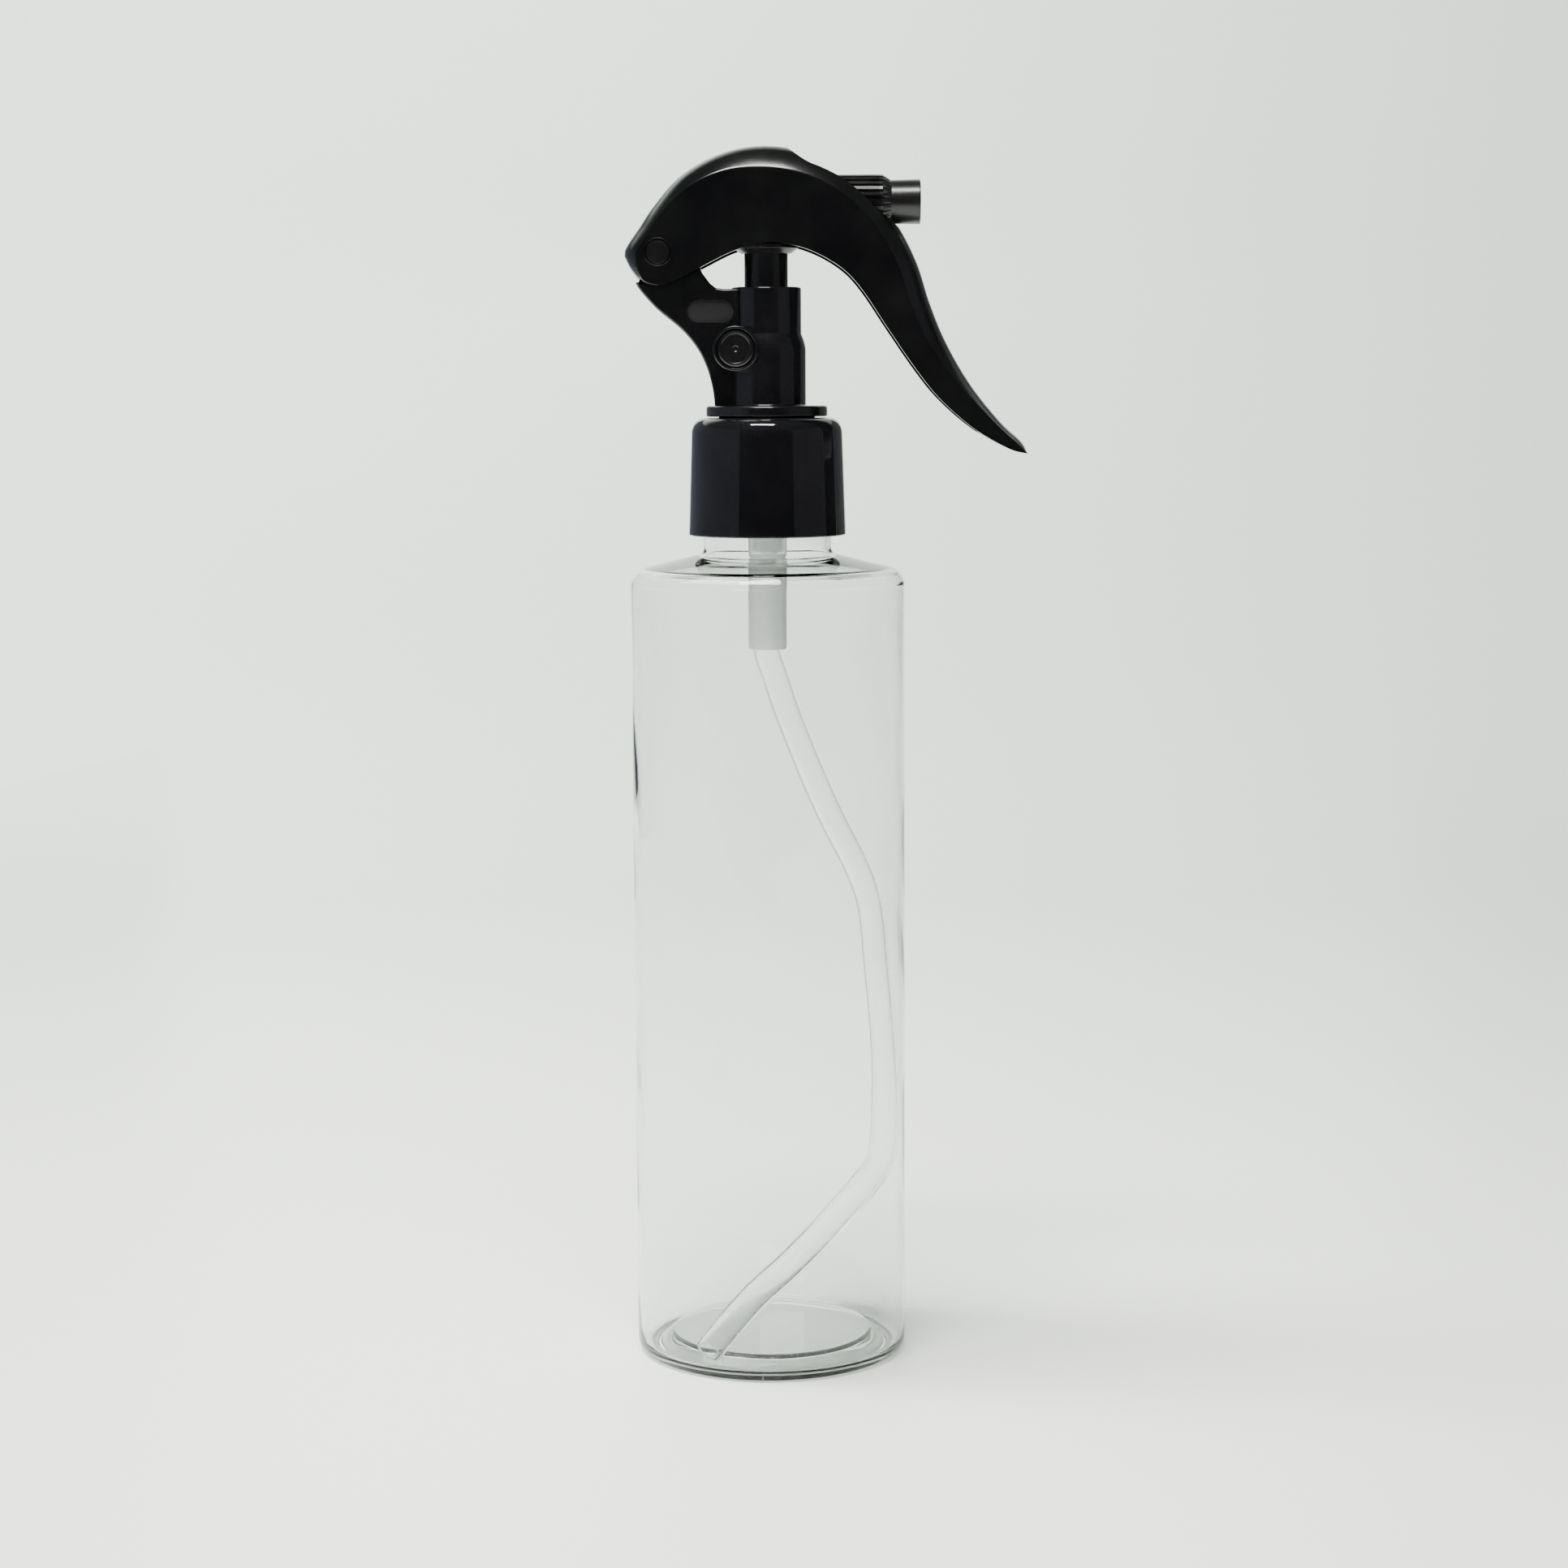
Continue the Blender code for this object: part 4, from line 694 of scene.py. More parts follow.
# sprayer body
bodySize = {
    "flangeRadius": 11.05,
    "flangeHeight": 1.95,
    "columnRadius": 7.15,
    "upperRadius": 6.35,
    "spigot": 8.7,
    "bore": 4.25,
    "lowerBore": 5.4,
    "armHalf": 4.3,
    "armEdge": 0.45,
    "pin": 2.15,
    "pinReach": 6.7,
    "bossRadius": 4.05,
    "bossReach": 7.45,
}
armBack = [
    (-9.3, -0.02),
    (-9.7, 0.110),
    (-10.7, 0.245),
    (-12.4, 0.372),
    (-15.2, 0.496),
    (-19.4, 0.624),
    (-21.9, 0.721),
    (-23.1, 0.778),
    (-23.45, 0.806),
]


def makeColumn(size):
    top, foot = columnTop, flangeTop
    profile = rounded(
        [
            (size["bore"], top, 0.3),
            (size["upperRadius"], top, 0.35),
            (size["upperRadius"], foot + 12.9, 0.3),
            (size["upperRadius"] + 0.35, foot + 12.0, 0.3),
            (size["columnRadius"] - 0.15, foot + 11.0, 0.4),
            (size["columnRadius"], foot + 10.3, 0.4),
            (size["columnRadius"], foot, 0.35),
            (size["flangeRadius"], foot, 0.5),
            (size["flangeRadius"], foot - size["flangeHeight"], 0.3),
            (size["spigot"], foot - size["flangeHeight"], 0.2),
            (size["spigot"], rim + 2.95, 0.2),
            (size["lowerBore"], rim + 2.95, 0.2),
            (size["lowerBore"], rim + 13.1, 0.2),
            (size["bore"], rim + 13.1, 0.2),
        ]
    )
    column = turned("column", profile, 192, blacks["body"])
    return fit(column, "sprayer", "sprayer_body", "sprayer_body")


def armOutline():
    # The arm's side view, back edge first: a spline up to the lever, the round head, and the inner edge.
    span = hingeZ - flangeTop
    back = splineThrough([(x, flangeTop + span * share) for x, share in armBack], 60)
    head = rounded(
        [
            (*back[-1], 0),
            (hingeX - 1.6, hingeZ - 5.3, 0.4),
            (hingeX - 2.4, hingeZ - 3.0, 0.4),
            *[(x, z, 0) for x, z in ellipseArc((hingeX, hingeZ), (3.05, 3.05), 190, 50, 16)],
            (hingeX + 5.1, hingeZ + 0.4, 1.0),
            (hingeX + 7.4, hingeZ - 2.4, 1.2),
            (hingeX + 7.8, hingeZ - 3.6, 0.6),
            (hingeX + 9.3, hingeZ - 5.6, 0.8),
            (hingeX + 10.3, columnTop - 0.15, 0.3),
            (hingeX + 11.7, columnTop - 0.35, 0.2),
            (-4.9, columnTop - 0.35, 0),
            (-4.9, flangeTop - 0.5, 0),
        ],
        closed=False,
        steps=5,
    )
    return np.concatenate([back, head[1:]])


def edgeOffset(outline, amount):
    # Moves each point of a closed outline inwards along the mean of its two edge normals.
    before, after = outline - np.roll(outline, 1, 0), np.roll(outline, -1, 0) - outline
    unit = before / np.linalg.norm(before, axis=1)[:, None] + after / np.linalg.norm(after, axis=1)[:, None]
    unit /= np.linalg.norm(unit, axis=1)[:, None]
    area = np.sum(outline[:, 0] * np.roll(outline[:, 1], -1) - np.roll(outline[:, 0], -1) * outline[:, 1])
    normal = np.stack([-unit[:, 1], unit[:, 0]], -1) * np.sign(area)
    return outline + normal * amount


def standing(outline, y):
    # An outline (x, z) stood up at that y.
    return np.column_stack([outline[:, 0], np.full(len(outline), y), outline[:, 1]])


def slab(name, outline, half, edge, material):
    # An outline given thickness along Y with quarter-round edges:
    # offset = e (1 - cos t), y = h - e + e sin t.
    quarter = np.linspace(0, pi / 2, 6)
    inset = edge * (1 - np.cos(quarter))
    y = half - edge + edge * np.sin(quarter)
    levels = [(a, -b) for a, b in zip(inset[::-1], y[::-1])] + list(zip(inset, y))
    grid = np.stack([standing(edgeOffset(outline, offset), y) for offset, y in levels])
    return surface(name, grid, material, caps=True)


def pillOutline(centre, length, height, count=16):
    half, radius = (length - height) / 2, height / 2
    return np.concatenate(
        [
            ellipseArc((centre[0] + half, centre[1]), (radius, radius), -90, 90, count),
            ellipseArc((centre[0] - half, centre[1]), (radius, radius), 90, 270, count),
        ]
    )


def makeArm(size):
    arm = slab("arm", armOutline(), size["armHalf"], size["armEdge"], blacks["body"])
    pillCentre = (-10.0, flangeTop + 0.615 * (hingeZ - flangeTop))
    pocket = pillOutline(pillCentre, 8.4, 4.2)
    cutters = []
    for side in (-1, 1):
        near = standing(pocket, side * (size["armHalf"] - 0.35))
        far = standing(pocket, side * (size["armHalf"] + 1))
        cutters.append(surface("pocketCutter", np.stack([near, far]), blacks["body"], caps=True))
    carve(arm, cutters)
    fit(arm, "sprayer", "sprayer_body")
    wider = pillOutline(pillCentre, 8.7, 4.5)
    floor = slab("pocketFloor", wider, size["armHalf"] - 0.33, 0.05, blacks["pocket"])
    fit(floor, "sprayer", "sprayer_body")
    return arm


def makeBodyRounds(size):
    rings = rounded([(2.2, 5.15, 0.2), (3.0, 5.15, 0.2), (3.0, -5.15, 0.2), (2.2, -5.15, 0.2)])
    washer = turnedAlongY("thrustBoss", rings, 64, hingeAxis, blacks["body"], closed=True)
    fit(washer, "sprayer", "sprayer_body")
    reach = size["pinReach"]
    pinProfile = rounded(
        [
            (0, reach - 0.06, 0),
            (1.7, reach - 0.06, 0.1),
            (size["pin"], reach, 0.12),
            (size["pin"], -reach, 0.12),
            (1.7, 0.06 - reach, 0.1),
            (0, 0.06 - reach, 0),
        ],
        closed=False,
    )
    pin = turnedAlongY("hingePin", pinProfile, 64, hingeAxis, blacks["head"])
    fit(pin, "sprayer", "sprayer_body")
    boss = size["bossReach"]
    bossProfile = rounded(
        [
            (3.5, boss - 0.15, 0.05),
            (3.62, boss, 0.08),
            (size["bossRadius"], boss, 0.28),
            (size["bossRadius"], -boss, 0.28),
            (3.62, -boss, 0.08),
            (3.5, 0.15 - boss, 0.05),
        ],
        steps=4,
    )
    ring = turnedAlongY("lockBoss", bossProfile, 96, (lockX, lockZ), blacks["body"], closed=True)
    return fit(ring, "sprayer", "sprayer_body")


makeColumn(bodySize)
makeArm(bodySize)
makeBodyRounds(bodySize)
print("sprayer body made")


# lever
leverSize = {"half": 6.8, "wall": 1.35, "power": 2.8, "drop": 0.6, "stations": 300, "crease": 0.22}
roofLine = [
    (-0.2, -5.95, 0.05),
    (-2.6, -5.1, 0.5),
    (-3.75, -2.8, 1.3),
    (-3.95, -0.75, 2.2),
    (-3.8, 0.1, 2.25),
    (-1.75, 3.3, 2.1),
    (0.55, 6.7, 2.1),
    (5.5, 11.4, 2.7),
    (11.9, 14.2, 3.4),
    (18.3, 14.8, 4.1),
    (24.8, 14.0, 4.15),
    (30.8, 11.7, 4.0),
    (35.9, 7.9, 3.75),
    (40.2, 2.7, 3.5),
    (43.3, -3.4, 3.5),
    (45.6, -10.2, 3.4),
    (49.1, -17.3, 2.9),
    (54.6, -24.6, 1.8),
    (60.6, -31.0, 1.1),
    (64.7, -34.7, 0.95),
    (66.3, -36.2, 0.05),
]
undersideLine = [
    (-0.2, -5.95),
    (3.2, -5.0),
    (7.4, -2.9),
    (13.1, -0.1),
    (18.3, 1.45),
    (22.9, 1.3),
    (27.8, -0.1),
    (32.8, -3.0),
    (36.5, -6.9),
    (41.2, -13.9),
    (46.1, -21.0),
    (50.5, -26.4),
    (56.6, -31.7),
    (62.9, -35.3),
    (66.3, -36.2),
]


def ease(x, start, end):
    t = np.clip((x - start) / (end - start), 0, 1)
    return t * t * (3 - 2 * t)


def leverGrid(size):
    # One closed cross-section carried from tail to tip.
    # At each station the flat side runs from the underside line to the roof line at y = W; the crown stands
    # h(y) = c (1 - |y / W|^p) proud of the roof line; the inside repeats both, a wall thinner, and its depth
    # fades to nothing at both ends so that the tail and the tip are solid.
    roof = splineThrough(roofLine, size["stations"])
    below = splineThrough(undersideLine, size["stations"])
    below = evenly(below[2:-2], size["stations"])
    edge = roof[:, :2] + (hingeX, hingeZ)
    crown = np.maximum(roof[:, 2:3], 0.05)
    bottom = below + (hingeX, hingeZ)
    along = np.gradient(edge, axis=0)
    along /= np.linalg.norm(along, axis=1)[:, None]
    normal = np.stack([-along[:, 1], along[:, 0]], -1)
    half, wall, power = size["half"], size["wall"], size["power"]
    inner = half - wall
    share = np.linspace(0, 1, size["stations"])[:, None]
    depth = ease(share, 0.055, 0.085) * (1 - ease(share, 0.86, 0.9))

    def crownHeight(y, width, rise):
        return rise * (1 - np.abs(y / width) ** power)

    crease = size["crease"]
    height = np.linalg.norm(edge - bottom, axis=1)[:, None]
    lower = 1 - np.minimum(crease / np.maximum(height, 1e-3), 0.5)
    rise = np.linspace(0, 1, 9)[None, :]
    sideShares = rise * lower
    places, ys = [], []

    def addSide(sign, reverse):
        place = bottom[:, None] + (edge - bottom)[:, None] * sideShares[:, :, None]
        y = np.full(sideShares.shape, sign * half)
        places.append(place[:, ::-1] if reverse else place)
        ys.append(y)

    across = np.sin(np.linspace(-pi / 2, pi / 2, 41))[1:-1] * (half - 0.16)
    top = edge[:, None] + normal[:, None] * crownHeight(across[None, :], half, crown)[:, :, None]
    start = top[:, :1]
    end = top[:, -1:]
    sideTop = bottom[:, None] + (edge - bottom)[:, None] * lower[:, :, None]
    t = np.linspace(0, 1, 6)[1:-1][None, :, None]
    bendIn = (1 - t) ** 2 * sideTop + 2 * t * (1 - t) * edge[:, None] + t**2 * start
    bendOut = (1 - t) ** 2 * end + 2 * t * (1 - t) * edge[:, None] + t**2 * sideTop
    flat = t[..., 0]
    yIn = -((1 - flat) ** 2 * half + 2 * flat * (1 - flat) * half + flat**2 * -across[0])
    yOut = (1 - flat) ** 2 * across[-1] + 2 * flat * (1 - flat) * half + flat**2 * half
    addSide(-1, False)
    places += [bendIn, top, bendOut]
    ys += [yIn + 0 * crown, across[None, :] + 0 * crown, yOut + 0 * crown]
    addSide(1, True)
    insideAcross = np.sin(np.linspace(pi / 2, -pi / 2, 29)) * inner
    ceiling = edge - normal * size["drop"]
    insideCrown = np.maximum(crown - (wall - size["drop"]), 0.1)
    insideRise = crownHeight(insideAcross[None, :], inner, insideCrown)[:, :, None]
    raised = ceiling[:, None] + normal[:, None] * insideRise
    raised = bottom[:, None] + (raised - bottom[:, None]) * depth[:, :, None]
    insideTop = bottom + (ceiling - bottom) * depth
    climb = np.linspace(0, 1, 6)[None, 1:-1, None]
    up = bottom[:, None] + (insideTop - bottom)[:, None] * climb
    for sign, piece in ((1, up), (0, raised), (-1, up[:, ::-1])):
        if sign:
            edgePoint = bottom[:, None]
            both = [edgePoint, piece] if sign > 0 else [piece, edgePoint]
            places += both
            ys += [np.full(part.shape[:2], sign * inner) for part in both]
        else:
            places.append(piece)
            ys.append(insideAcross[None, :] + 0 * crown)
    place = np.concatenate(places, 1)
    y = np.concatenate([part + 0 * crown for part in ys], 1)
    # the tail and the crown stay inside the modelled lever's reach
    x = np.maximum(place[..., 0], (cadBox[0][0] - axisX) / mm + 0.01)
    z = np.minimum(place[..., 1], cadBox[1][2] / mm - 0.01)
    return np.stack([x, y, z], -1)


def slotCutters():
    # The way for the nozzle: a round-ended trench above the nozzle's axis, and a round floor along it.
    half = 5.15
    start = 3.5 + half
    back = ellipseArc((start, 0), (half, half), 90, 270, 41)
    plan = np.concatenate([back, [(start + 30, -half), (start + 30, half)]])
    levels = [np.column_stack([plan, np.full(len(plan), z)]) for z in (nozzleZ, hingeZ + 30)]
    trench = surface("slotTrench", np.stack(levels), blacks["lever"], caps=True)
    tube = np.array([(0, start + 29), (half - 0.02, start + 29), (half - 0.02, start), (0, start)])
    floor = surface("slotFloor", alongX(turnedGrid(tube, 96), nozzleZ), blacks["lever"])
    return trench, floor


def makeLever(size):
    lever = surface("lever", leverGrid(size), blacks["lever"], caps=True)
    tube = np.array([(0, 9), (2.3, 9), (2.3, -9), (0, -9)])
    hole = turnedAlongY("hingeHole", tube, 64, hingeAxis, blacks["lever"])
    carve(lever, [hole, *slotCutters()])
    for name, face in (("hingeRimNear", 6.8), ("hingeRimFar", -6.8)):
        foot, lip = face - 0.1, face + 0.05
        ringProfile = rounded([(2.32, foot, 0), (2.32, lip, 0.03), (2.5, lip, 0.06), (2.5, foot, 0)])
        ring = turnedAlongY(name, ringProfile, 96, hingeAxis, blacks["lever"], closed=True)
        fit(ring, "lever", "trigger")
    return fit(lever, "lever", "trigger", "trigger")


def makeForks():
    # Horseshoe ribs on the inside of each cheek, round the head's trunnions.
    centre = (0.0, headBottom + 3.4)
    outline = np.concatenate(
        [ellipseArc(centre, (3.3, 3.3), -10, 190, 24), ellipseArc(centre, (1.95, 1.95), 190, -10, 20)]
    )
    for name, side in (("forkNear", -1), ("forkFar", 1)):
        cheek = np.stack([standing(outline, side * 4.25), standing(outline, side * 5.7)])
        fit(surface(name, cheek, blacks["lever"], caps=True), "lever", "trigger")


makeLever(leverSize)
makeForks()
print("lever made")


# plunger head, nozzle, lock
headSize = {"stem": 3.95, "length": 12.8, "body": 3.8, "base": (5.8, 4.85), "post": 2.9, "trunnion": 1.5}


def makeHead(size):
    end = headBottom - size["length"]
    profile = rounded(
        [
            (0, headBottom + 12.6, 0),
            (size["body"], headBottom + 12.6, 0.8),
            (size["body"], headBottom + 0.7, 0.2),
            (size["stem"], headBottom + 0.4, 0.2),
            (size["stem"], end, 0.3),
            (2.6, end, 0.2),
            (2.6, end + 8.4, 0.2),
            (2.0, end + 8.5, 0.1),
            (2.0, end + 12.4, 0.1),
            (0, end + 13.4, 0),
        ],
        closed=False,
    )
    stem = turned("headStem", profile, 128, blacks["head"], closed=False)
    fit(stem, "plunger", "actuator", "actuator")
    base = rounded(
        [
            (0.3, headBottom + 1.75, 0),
            (1.0, headBottom + 1.75, 0.12),
            (1.0, headBottom + 1.0, 0.35),
            (0.78, headBottom, 0.12),
            (0.3, headBottom, 0),
        ],
        closed=False,
    )
    grid = turnedGrid(base, 96)
    grid[..., 0] *= size["base"][0]
    grid[..., 1] *= size["base"][1]
    fit(surface("headBase", grid, blacks["head"], loopRows=True), "plunger", "actuator")
    rod = rounded([(0, 4.85, 0), (1.5, 4.85, 0.2), (1.5, -4.85, 0.2), (0, -4.85, 0)], closed=False)
    trunnion = turnedAlongY("trunnion", rod, 48, (0, headBottom + 3.4), blacks["head"])
    fit(trunnion, "plunger", "actuator")
    post = rounded(
        [
            (2.0, 20.5, 0.1),
            (size["post"], 20.5, 0.2),
            (size["post"], 7.6, 0.1),
            (size["post"] + 1.0, 7.6, 0.2),
            (size["post"] + 1.0, 1.0, 0.2),
            (1.0, 1.0, 0.2),
            (1.0, 16.9, 0.1),
            (2.0, 16.9, 0.1),
        ]
    )
    postGrid = alongX(turnedGrid(post, 72), nozzleZ)
    fit(surface("spoutPost", postGrid, blacks["head"], loopRows=True), "plunger", "actuator")


nozzleSize = {
    "rear": 8.6,
    "ribEnd": 21.0,
    "barrel": 22.5,
    "front": 27.8,
    "ribRadius": 4.85,
    "barrelRadius": 3.9,
    "ribs": 25,
    "ribDepth": 0.5,
    "bore": 3.2,
    "cup": 2.9,
}


def makeNozzle(size):
    # A turned form whose radius drops by d g(a) m(x): g is 25 rounded grooves, m fades them at both ends.
    rear, ribEnd, barrel, front = size["rear"], size["ribEnd"], size["barrel"], size["front"]
    corners = rounded(
        [
            (size["bore"], rear, 0.1),
            (size["ribRadius"], rear, 0.2),
            (size["ribRadius"], ribEnd, 0.35),
            (size["barrelRadius"], barrel, 0.5),
            (size["barrelRadius"] + 0.12, front, 0.2),
            (size["cup"] + 0.1, front, 0.25),
            (size["cup"] - 0.1, front - 4.1, 0.3),
            (0.35, front - 4.1, 0.05),
            (0.35, front - 5.1, 0.05),
            (size["bore"], front - 5.1, 0.2),
            (size["bore"], rear + 2.4, 0.05),
            (size["bore"] + 0.45, rear + 2.4, 0.05),
            (size["bore"] + 0.45, rear + 1.0, 0.05),
            (size["bore"], rear + 1.0, 0.05),
        ]
    )
    outside = np.linspace(rear + 0.4, ribEnd - 0.5, 24)
    split = np.argmax((corners[:, 0] > size["ribRadius"] - 0.01) & (corners[:, 1] > rear + 0.15))
    profile = np.concatenate(
        [corners[:split], np.stack([np.full(24, size["ribRadius"]), outside], -1), corners[split + 1 :]]
    )

    def ripple(angle, x, radius):
        phase = (angle * size["ribs"] / (2 * pi)) % 1.0
        groove = ease(phase, 0.0, 0.12) * (1 - ease(phase, 0.38, 0.5))
        along = ease(x, rear - 0.05, rear + 0.1) * (1 - ease(x, ribEnd - 0.1, ribEnd + 0.55))
        outer = ease(radius, size["barrelRadius"], size["ribRadius"] - 0.35)
        return -size["ribDepth"] * groove * along * outer

    grid = alongX(turnedGrid(profile, size["ribs"] * 20, ripple), nozzleZ)
    nozzle = surface("nozzleCap", grid, blacks["nozzle"], loopRows=True, sharpAngle=55)
    return fit(nozzle, "nozzle", "nozzle", "nozzle")


lockSize = {"radius": 3.3, "near": 7.25, "far": 10.05}


def makeLock(size):
    # A rod along Y with a rim and a dished face at each end, cut away where the stem passes.
    r = size["radius"]
    near, far = size["near"], -size["far"]
    gate = [(0, -0.3, 0), (0.42, -0.28, 0.08), (0.55, -0.2, 0.08)]
    edge = [(r - 0.75, -0.2, 0.12), (r - 0.6, -0.04, 0.08), (r - 0.35, 0, 0.12), (r, -0.12, 0.15)]
    face = gate + edge
    ends = [(x, near + z, f) for x, z, f in face] + [(x, far - z, f) for x, z, f in face[::-1]]
    profile = rounded(ends, closed=False, steps=4)
    lock = turnedAlongY("lockPin", profile, 96, (lockX, lockZ), blacks["lock"])
    plan = np.array([(-4.35, -4.35), (4.35, -4.35), (4.35, 6.95), (-4.35, 6.95)])
    levels = [np.column_stack([plan, np.full(4, z)]) for z in (lockZ - 6, lockZ + 6)]
    carve(lock, [surface("stemWay", np.stack(levels), blacks["lock"], caps=True)])
    return fit(lock, "lock", "lock_button", "lock_button")


makeHead(headSize)
makeNozzle(nozzleSize)
makeLock(lockSize)
print("head, nozzle and lock made")


# pump parts and tube
housingSize = {"barrel": 5.1, "bore": 4.15, "tail": 3.52, "socket": 2.85, "flange": 10.4}
tubeSize = {"outer": 2.6, "bore": 1.9, "wallPath": 21.4, "floor": 1.1, "stations": 260}
tubeBow = [
    (0.07, 30, 0.965),
    (0.21, 28, 0.901),
    (0.41, 27, 0.825),
    (0.64, 27, 0.750),
    (0.86, 27, 0.682),
    (0.985, 25, 0.620),
    (1.0, 18, 0.540),
    (1.0, 8, 0.455),
    (1.0, -4, 0.370),
    (1.0, -18, 0.285),
    (1.0, -38, 0.252),
    (1.0, -54, 0.222),
    (1.0, -68, 0.187),
    (1.0, -82, 0.150),
    (1.0, -97, 0.110),
    (1.0, -110, 0.066),
    (1.0, -121.5, 0.0245),
]


def makeHousing(size):
    ledge = rim - 15.8
    profile = rounded(
        [
            (size["bore"], rim + 11.7, 0.15),
            (size["barrel"], rim + 11.7, 0.2),
            (size["barrel"], rim + 2.45, 0.2),
            (size["flange"], rim + 2.45, 0.2),
            (size["flange"], rim + 1.3, 0.2),
            (size["barrel"], rim + 1.3, 0.3),
            (size["barrel"], ledge, 0.4),
            (size["tail"], ledge - 1.58, 0.4),
            (size["tail"], rim - 37.8, 0.35),
            (size["socket"], rim - 37.8, 0.15),
            (size["socket"], ledge - 6.1, 0.1),
            (1.1, ledge - 6.1, 0.1),
            (1.1, ledge - 5.2, 0.1),
            (2.2, ledge - 4.1, 0.1),
            (2.2, ledge, 0.1),
            (size["bore"], ledge, 0.1),
        ]
    )
    return fit(turned("pumpBarrel", profile, 96, housingMilky), "sprayer", "pump_housing", "pump_housing")


def makeTube(size):
    drop = rim - 37.8 - size["floor"]
    reach, angle, height = np.array(tubeBow).T
    angle = np.radians(angle)
    out = size["wallPath"] * reach
    bow = np.stack([out * np.cos(angle), out * np.sin(angle), size["floor"] + drop * height], -1)
    top = rim - 22.2
    straight = [(0, 0, top), (0, 0, (top + rim - 37.5) / 2), (0, 0, rim - 37.8)]
    path = splineThrough(np.concatenate([straight, bow]), size["stations"])
    outside = sweptGrid(path, circle(size["outer"], 40))
    inside = sweptGrid(path, circle(size["bore"], 40))
    grid = np.concatenate([outside, inside[::-1]])
    return fit(surface("dipTube", grid, tubeMilky, loopRows=True), "sprayer", "dip_tube", "dip_tube")


springSize = {"radius": 3.0, "wire": 0.35, "turns": 6, "foot": rim - 15.5, "top": rim - 3.9}


def makeSpring(size):
    # A helix with one closed turn at each end: z eases in and out of the pitch.
    low, high, turns = size["foot"], size["top"], size["turns"]
    t = np.linspace(0, turns, 70 * turns)
    rise = np.interp(t, [0, 0.8, turns - 0.8, turns], [0, 0.075, 0.925, 1])
    ends = size["wire"] + 0.01
    z = low + ends + (high - low - 2 * ends) * rise
    path = np.stack([size["radius"] * np.cos(2 * pi * t), size["radius"] * np.sin(2 * pi * t), z], -1)
    spring = surface("pumpSpring", sweptGrid(path, circle(size["wire"], 14)), springSteel, caps=True)
    fit(spring, "sprayer", "return_spring", "return_spring")
    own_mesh(spring)


makeHousing(housingSize)
makeTube(tubeSize)
makeSpring(springSize)
print("pump and tube made")

# the sealed inner parts keep their modelled shape and get their own finishes
innerMilky = milky("innerMilky", (0.86, 0.88, 0.86), (0.8, 0.82, 0.8), 0.35, 0.1, 0.4)
pistonMilky = milky("pistonMilky", (0.9, 0.9, 0.87), (0.84, 0.84, 0.8), 0.45, 0.05, 0.5)
innerFinish = {
    "bottle_gasket": gasketFoam,
    "nozzle_seal": sealRubber,
    "stem_seal": sealRubber,
    "swirl_core": innerMilky,
    "main_stem": innerMilky,
    "stem_guide": innerMilky,
    "ball_retainer": innerMilky,
    "piston": pistonMilky,
    "outlet_ball": ballGlass,
    "inlet_ball": ballGlass,
}
for node, finish in innerFinish.items():
    nodes[node].data.materials.clear()
    nodes[node].data.materials.append(finish)
print("inner parts finished")


# stage and light
stageSetup = {"floorNear": -560.0, "floorFar": 520.0, "bend": 260.0, "wallTop": 1500.0, "halfWidth": 1400.0}
cards = [
    # name, from and to (degrees round from the camera, left negative), radius, foot, top, glow
    ("leftCard", -160, -42, 700, 0, 520, (0.24, 0.27, 0.335)),
    ("rightCard", 40, 94, 700, 0, 520, (0.21, 0.21, 0.255)),
    ("rightBackCard", 122, 160, 760, 0, 520, (0.2, 0.2, 0.22)),
    ("darkCard", 96, 120, 430, 0, 420, (0.004, 0.004, 0.004)),
    ("frontCard", -41, 39, 1050, 0, 700, (0.03, 0.031, 0.037)),
]


def makeStage(size):
    # A sweep: flat floor, quarter-round bend and wall, carried across X.
    bend = ellipseArc((size["floorFar"], size["bend"]), (size["bend"], size["bend"]), -90, 0, 24)
    wallTop = (size["floorFar"] + size["bend"], size["wallTop"])
    line = np.concatenate([[(size["floorNear"], 0)], bend, [wallTop]])
    x = np.array([-size["halfWidth"], size["halfWidth"]])
    grid = np.stack([np.column_stack([np.full(len(line), value), line]) for value in x])
    material, tree, shader, place = startMaterial("paleBoard")
    clouds = addNode(tree, "ShaderNodeTexNoise", place, Scale=6.0, Detail=4.0)
    paint(tree, shader, clouds.outputs["Fac"], (0.785, 0.82, 0.785), (0.81, 0.842, 0.808))
    shader.inputs["Roughness"].default_value = 0.36
    stage = surface("stage", grid, material, loopColumns=False)


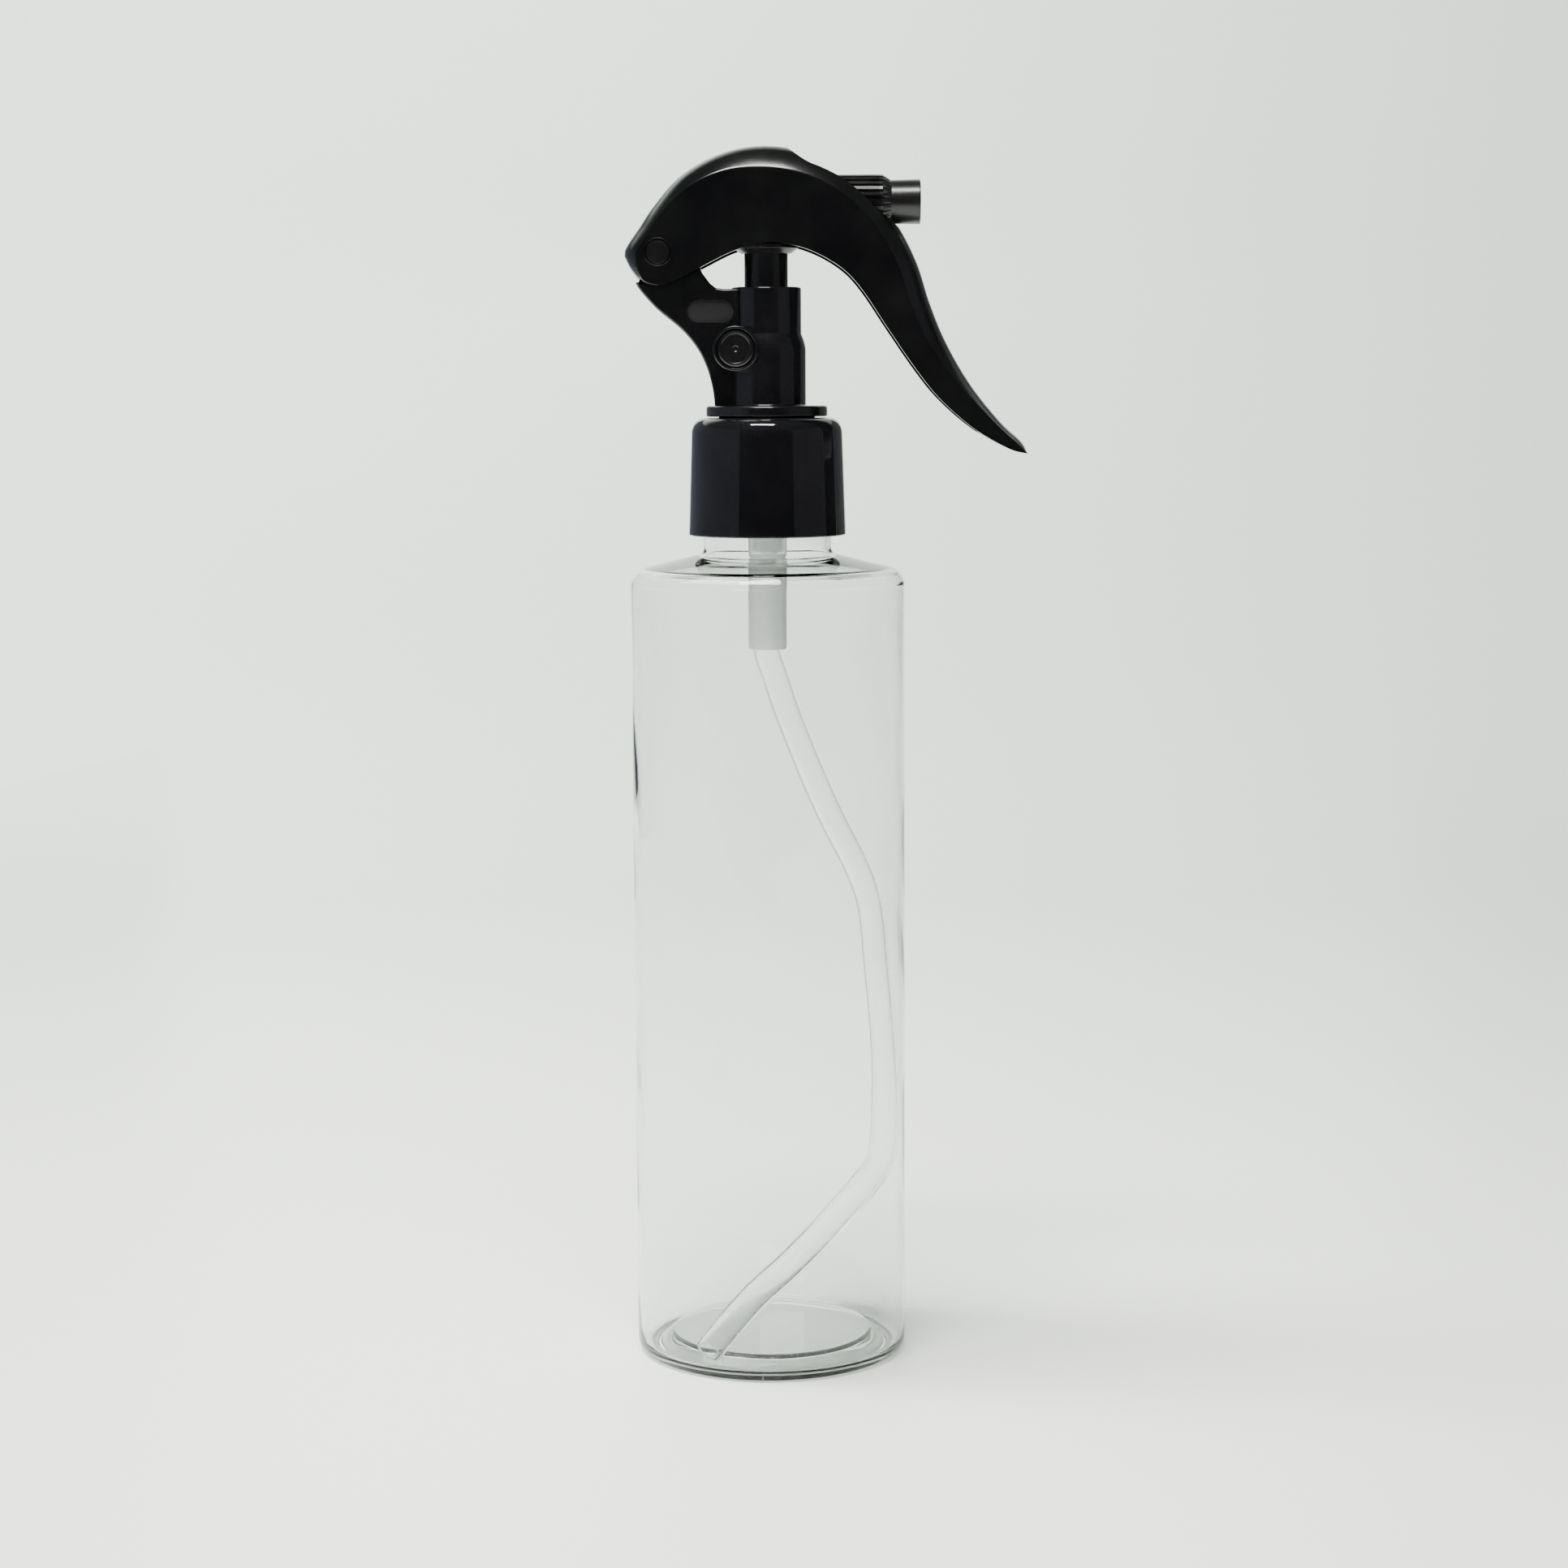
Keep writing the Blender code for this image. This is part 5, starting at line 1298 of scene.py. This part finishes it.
def makeCard(name, start, end, radius, foot, top, glow):
    # A curved card round the object, glowing on its own; its edges lie on the cylinder r = radius.
    angle = np.radians(np.linspace(start, end, 40))
    edge = np.stack([radius * np.sin(angle), -radius * np.cos(angle)], -1)
    grid = np.stack([np.column_stack([edge, np.full(40, z)]) for z in (foot, top)])
    material, tree, shader, place = startMaterial(name, Roughness=1.0)
    shader.inputs["Base Color"].default_value = (0.01, 0.01, 0.01, 1)
    drift = addNode(tree, "ShaderNodeTexNoise", place, Scale=3.0, Detail=1.0)
    dimmer = tuple(0.82 * c for c in glow)
    tree.links.new(mixColour(tree, drift.outputs["Fac"], glow, dimmer), shader.inputs["Emission Color"])
    shader.inputs["Emission Strength"].default_value = 1.0
    card = surface(name, grid, material, loopColumns=False)
    card.visible_camera = False
    card.visible_shadow = False
    card.visible_diffuse = False
    card.visible_transmission = False


def addLight(name, place, aim, size, power, colour=(1, 1, 1), shiny=True):
    data = bpy.data.lights.new(name, "AREA")
    data.shape = "RECTANGLE"
    data.size, data.size_y = size[0] * mm, size[1] * mm
    data.energy = power
    data.color = colour
    light = bpy.data.objects.new(name, data)
    bpy.context.scene.collection.objects.link(light)
    start = Vector((place[0] * mm + axisX, place[1] * mm, place[2] * mm))
    end = Vector((aim[0] * mm + axisX, aim[1] * mm, aim[2] * mm))
    light.location = start
    light.rotation_mode = "QUATERNION"
    light.rotation_quaternion = (end - start).to_track_quat("-Z", "Y")
    light.visible_glossy = shiny


makeStage(stageSetup)
for card in cards:
    makeCard(*card)
world = bpy.data.worlds.new("room")
world.use_nodes = True
world.node_tree.nodes["Background"].inputs["Color"].default_value = (0.88, 0.95, 0.88, 1)
world.node_tree.nodes["Background"].inputs["Strength"].default_value = 0.14
bpy.context.scene.world = world
lampColour = (1.0, 1.0, 0.97)
addLight("ceilingLamp", (-40, -210, 620), (0, 20, 100), (230, 80), 4.0, lampColour)
addLight("wallWash", (-520, 60, 900), (-300, 700, 200), (700, 300), 16.5, (0.92, 1.0, 0.93), False)
addLight("floorWash", (-300, -60, 820), (-170, 40, 0), (650, 450), 12.0, (1.0, 0.985, 0.965), False)
addLight("frontFill", (-160, -900, 420), (0, 0, 100), (700, 400), 9.0, (1, 1, 1), False)
print("stage and lights made")
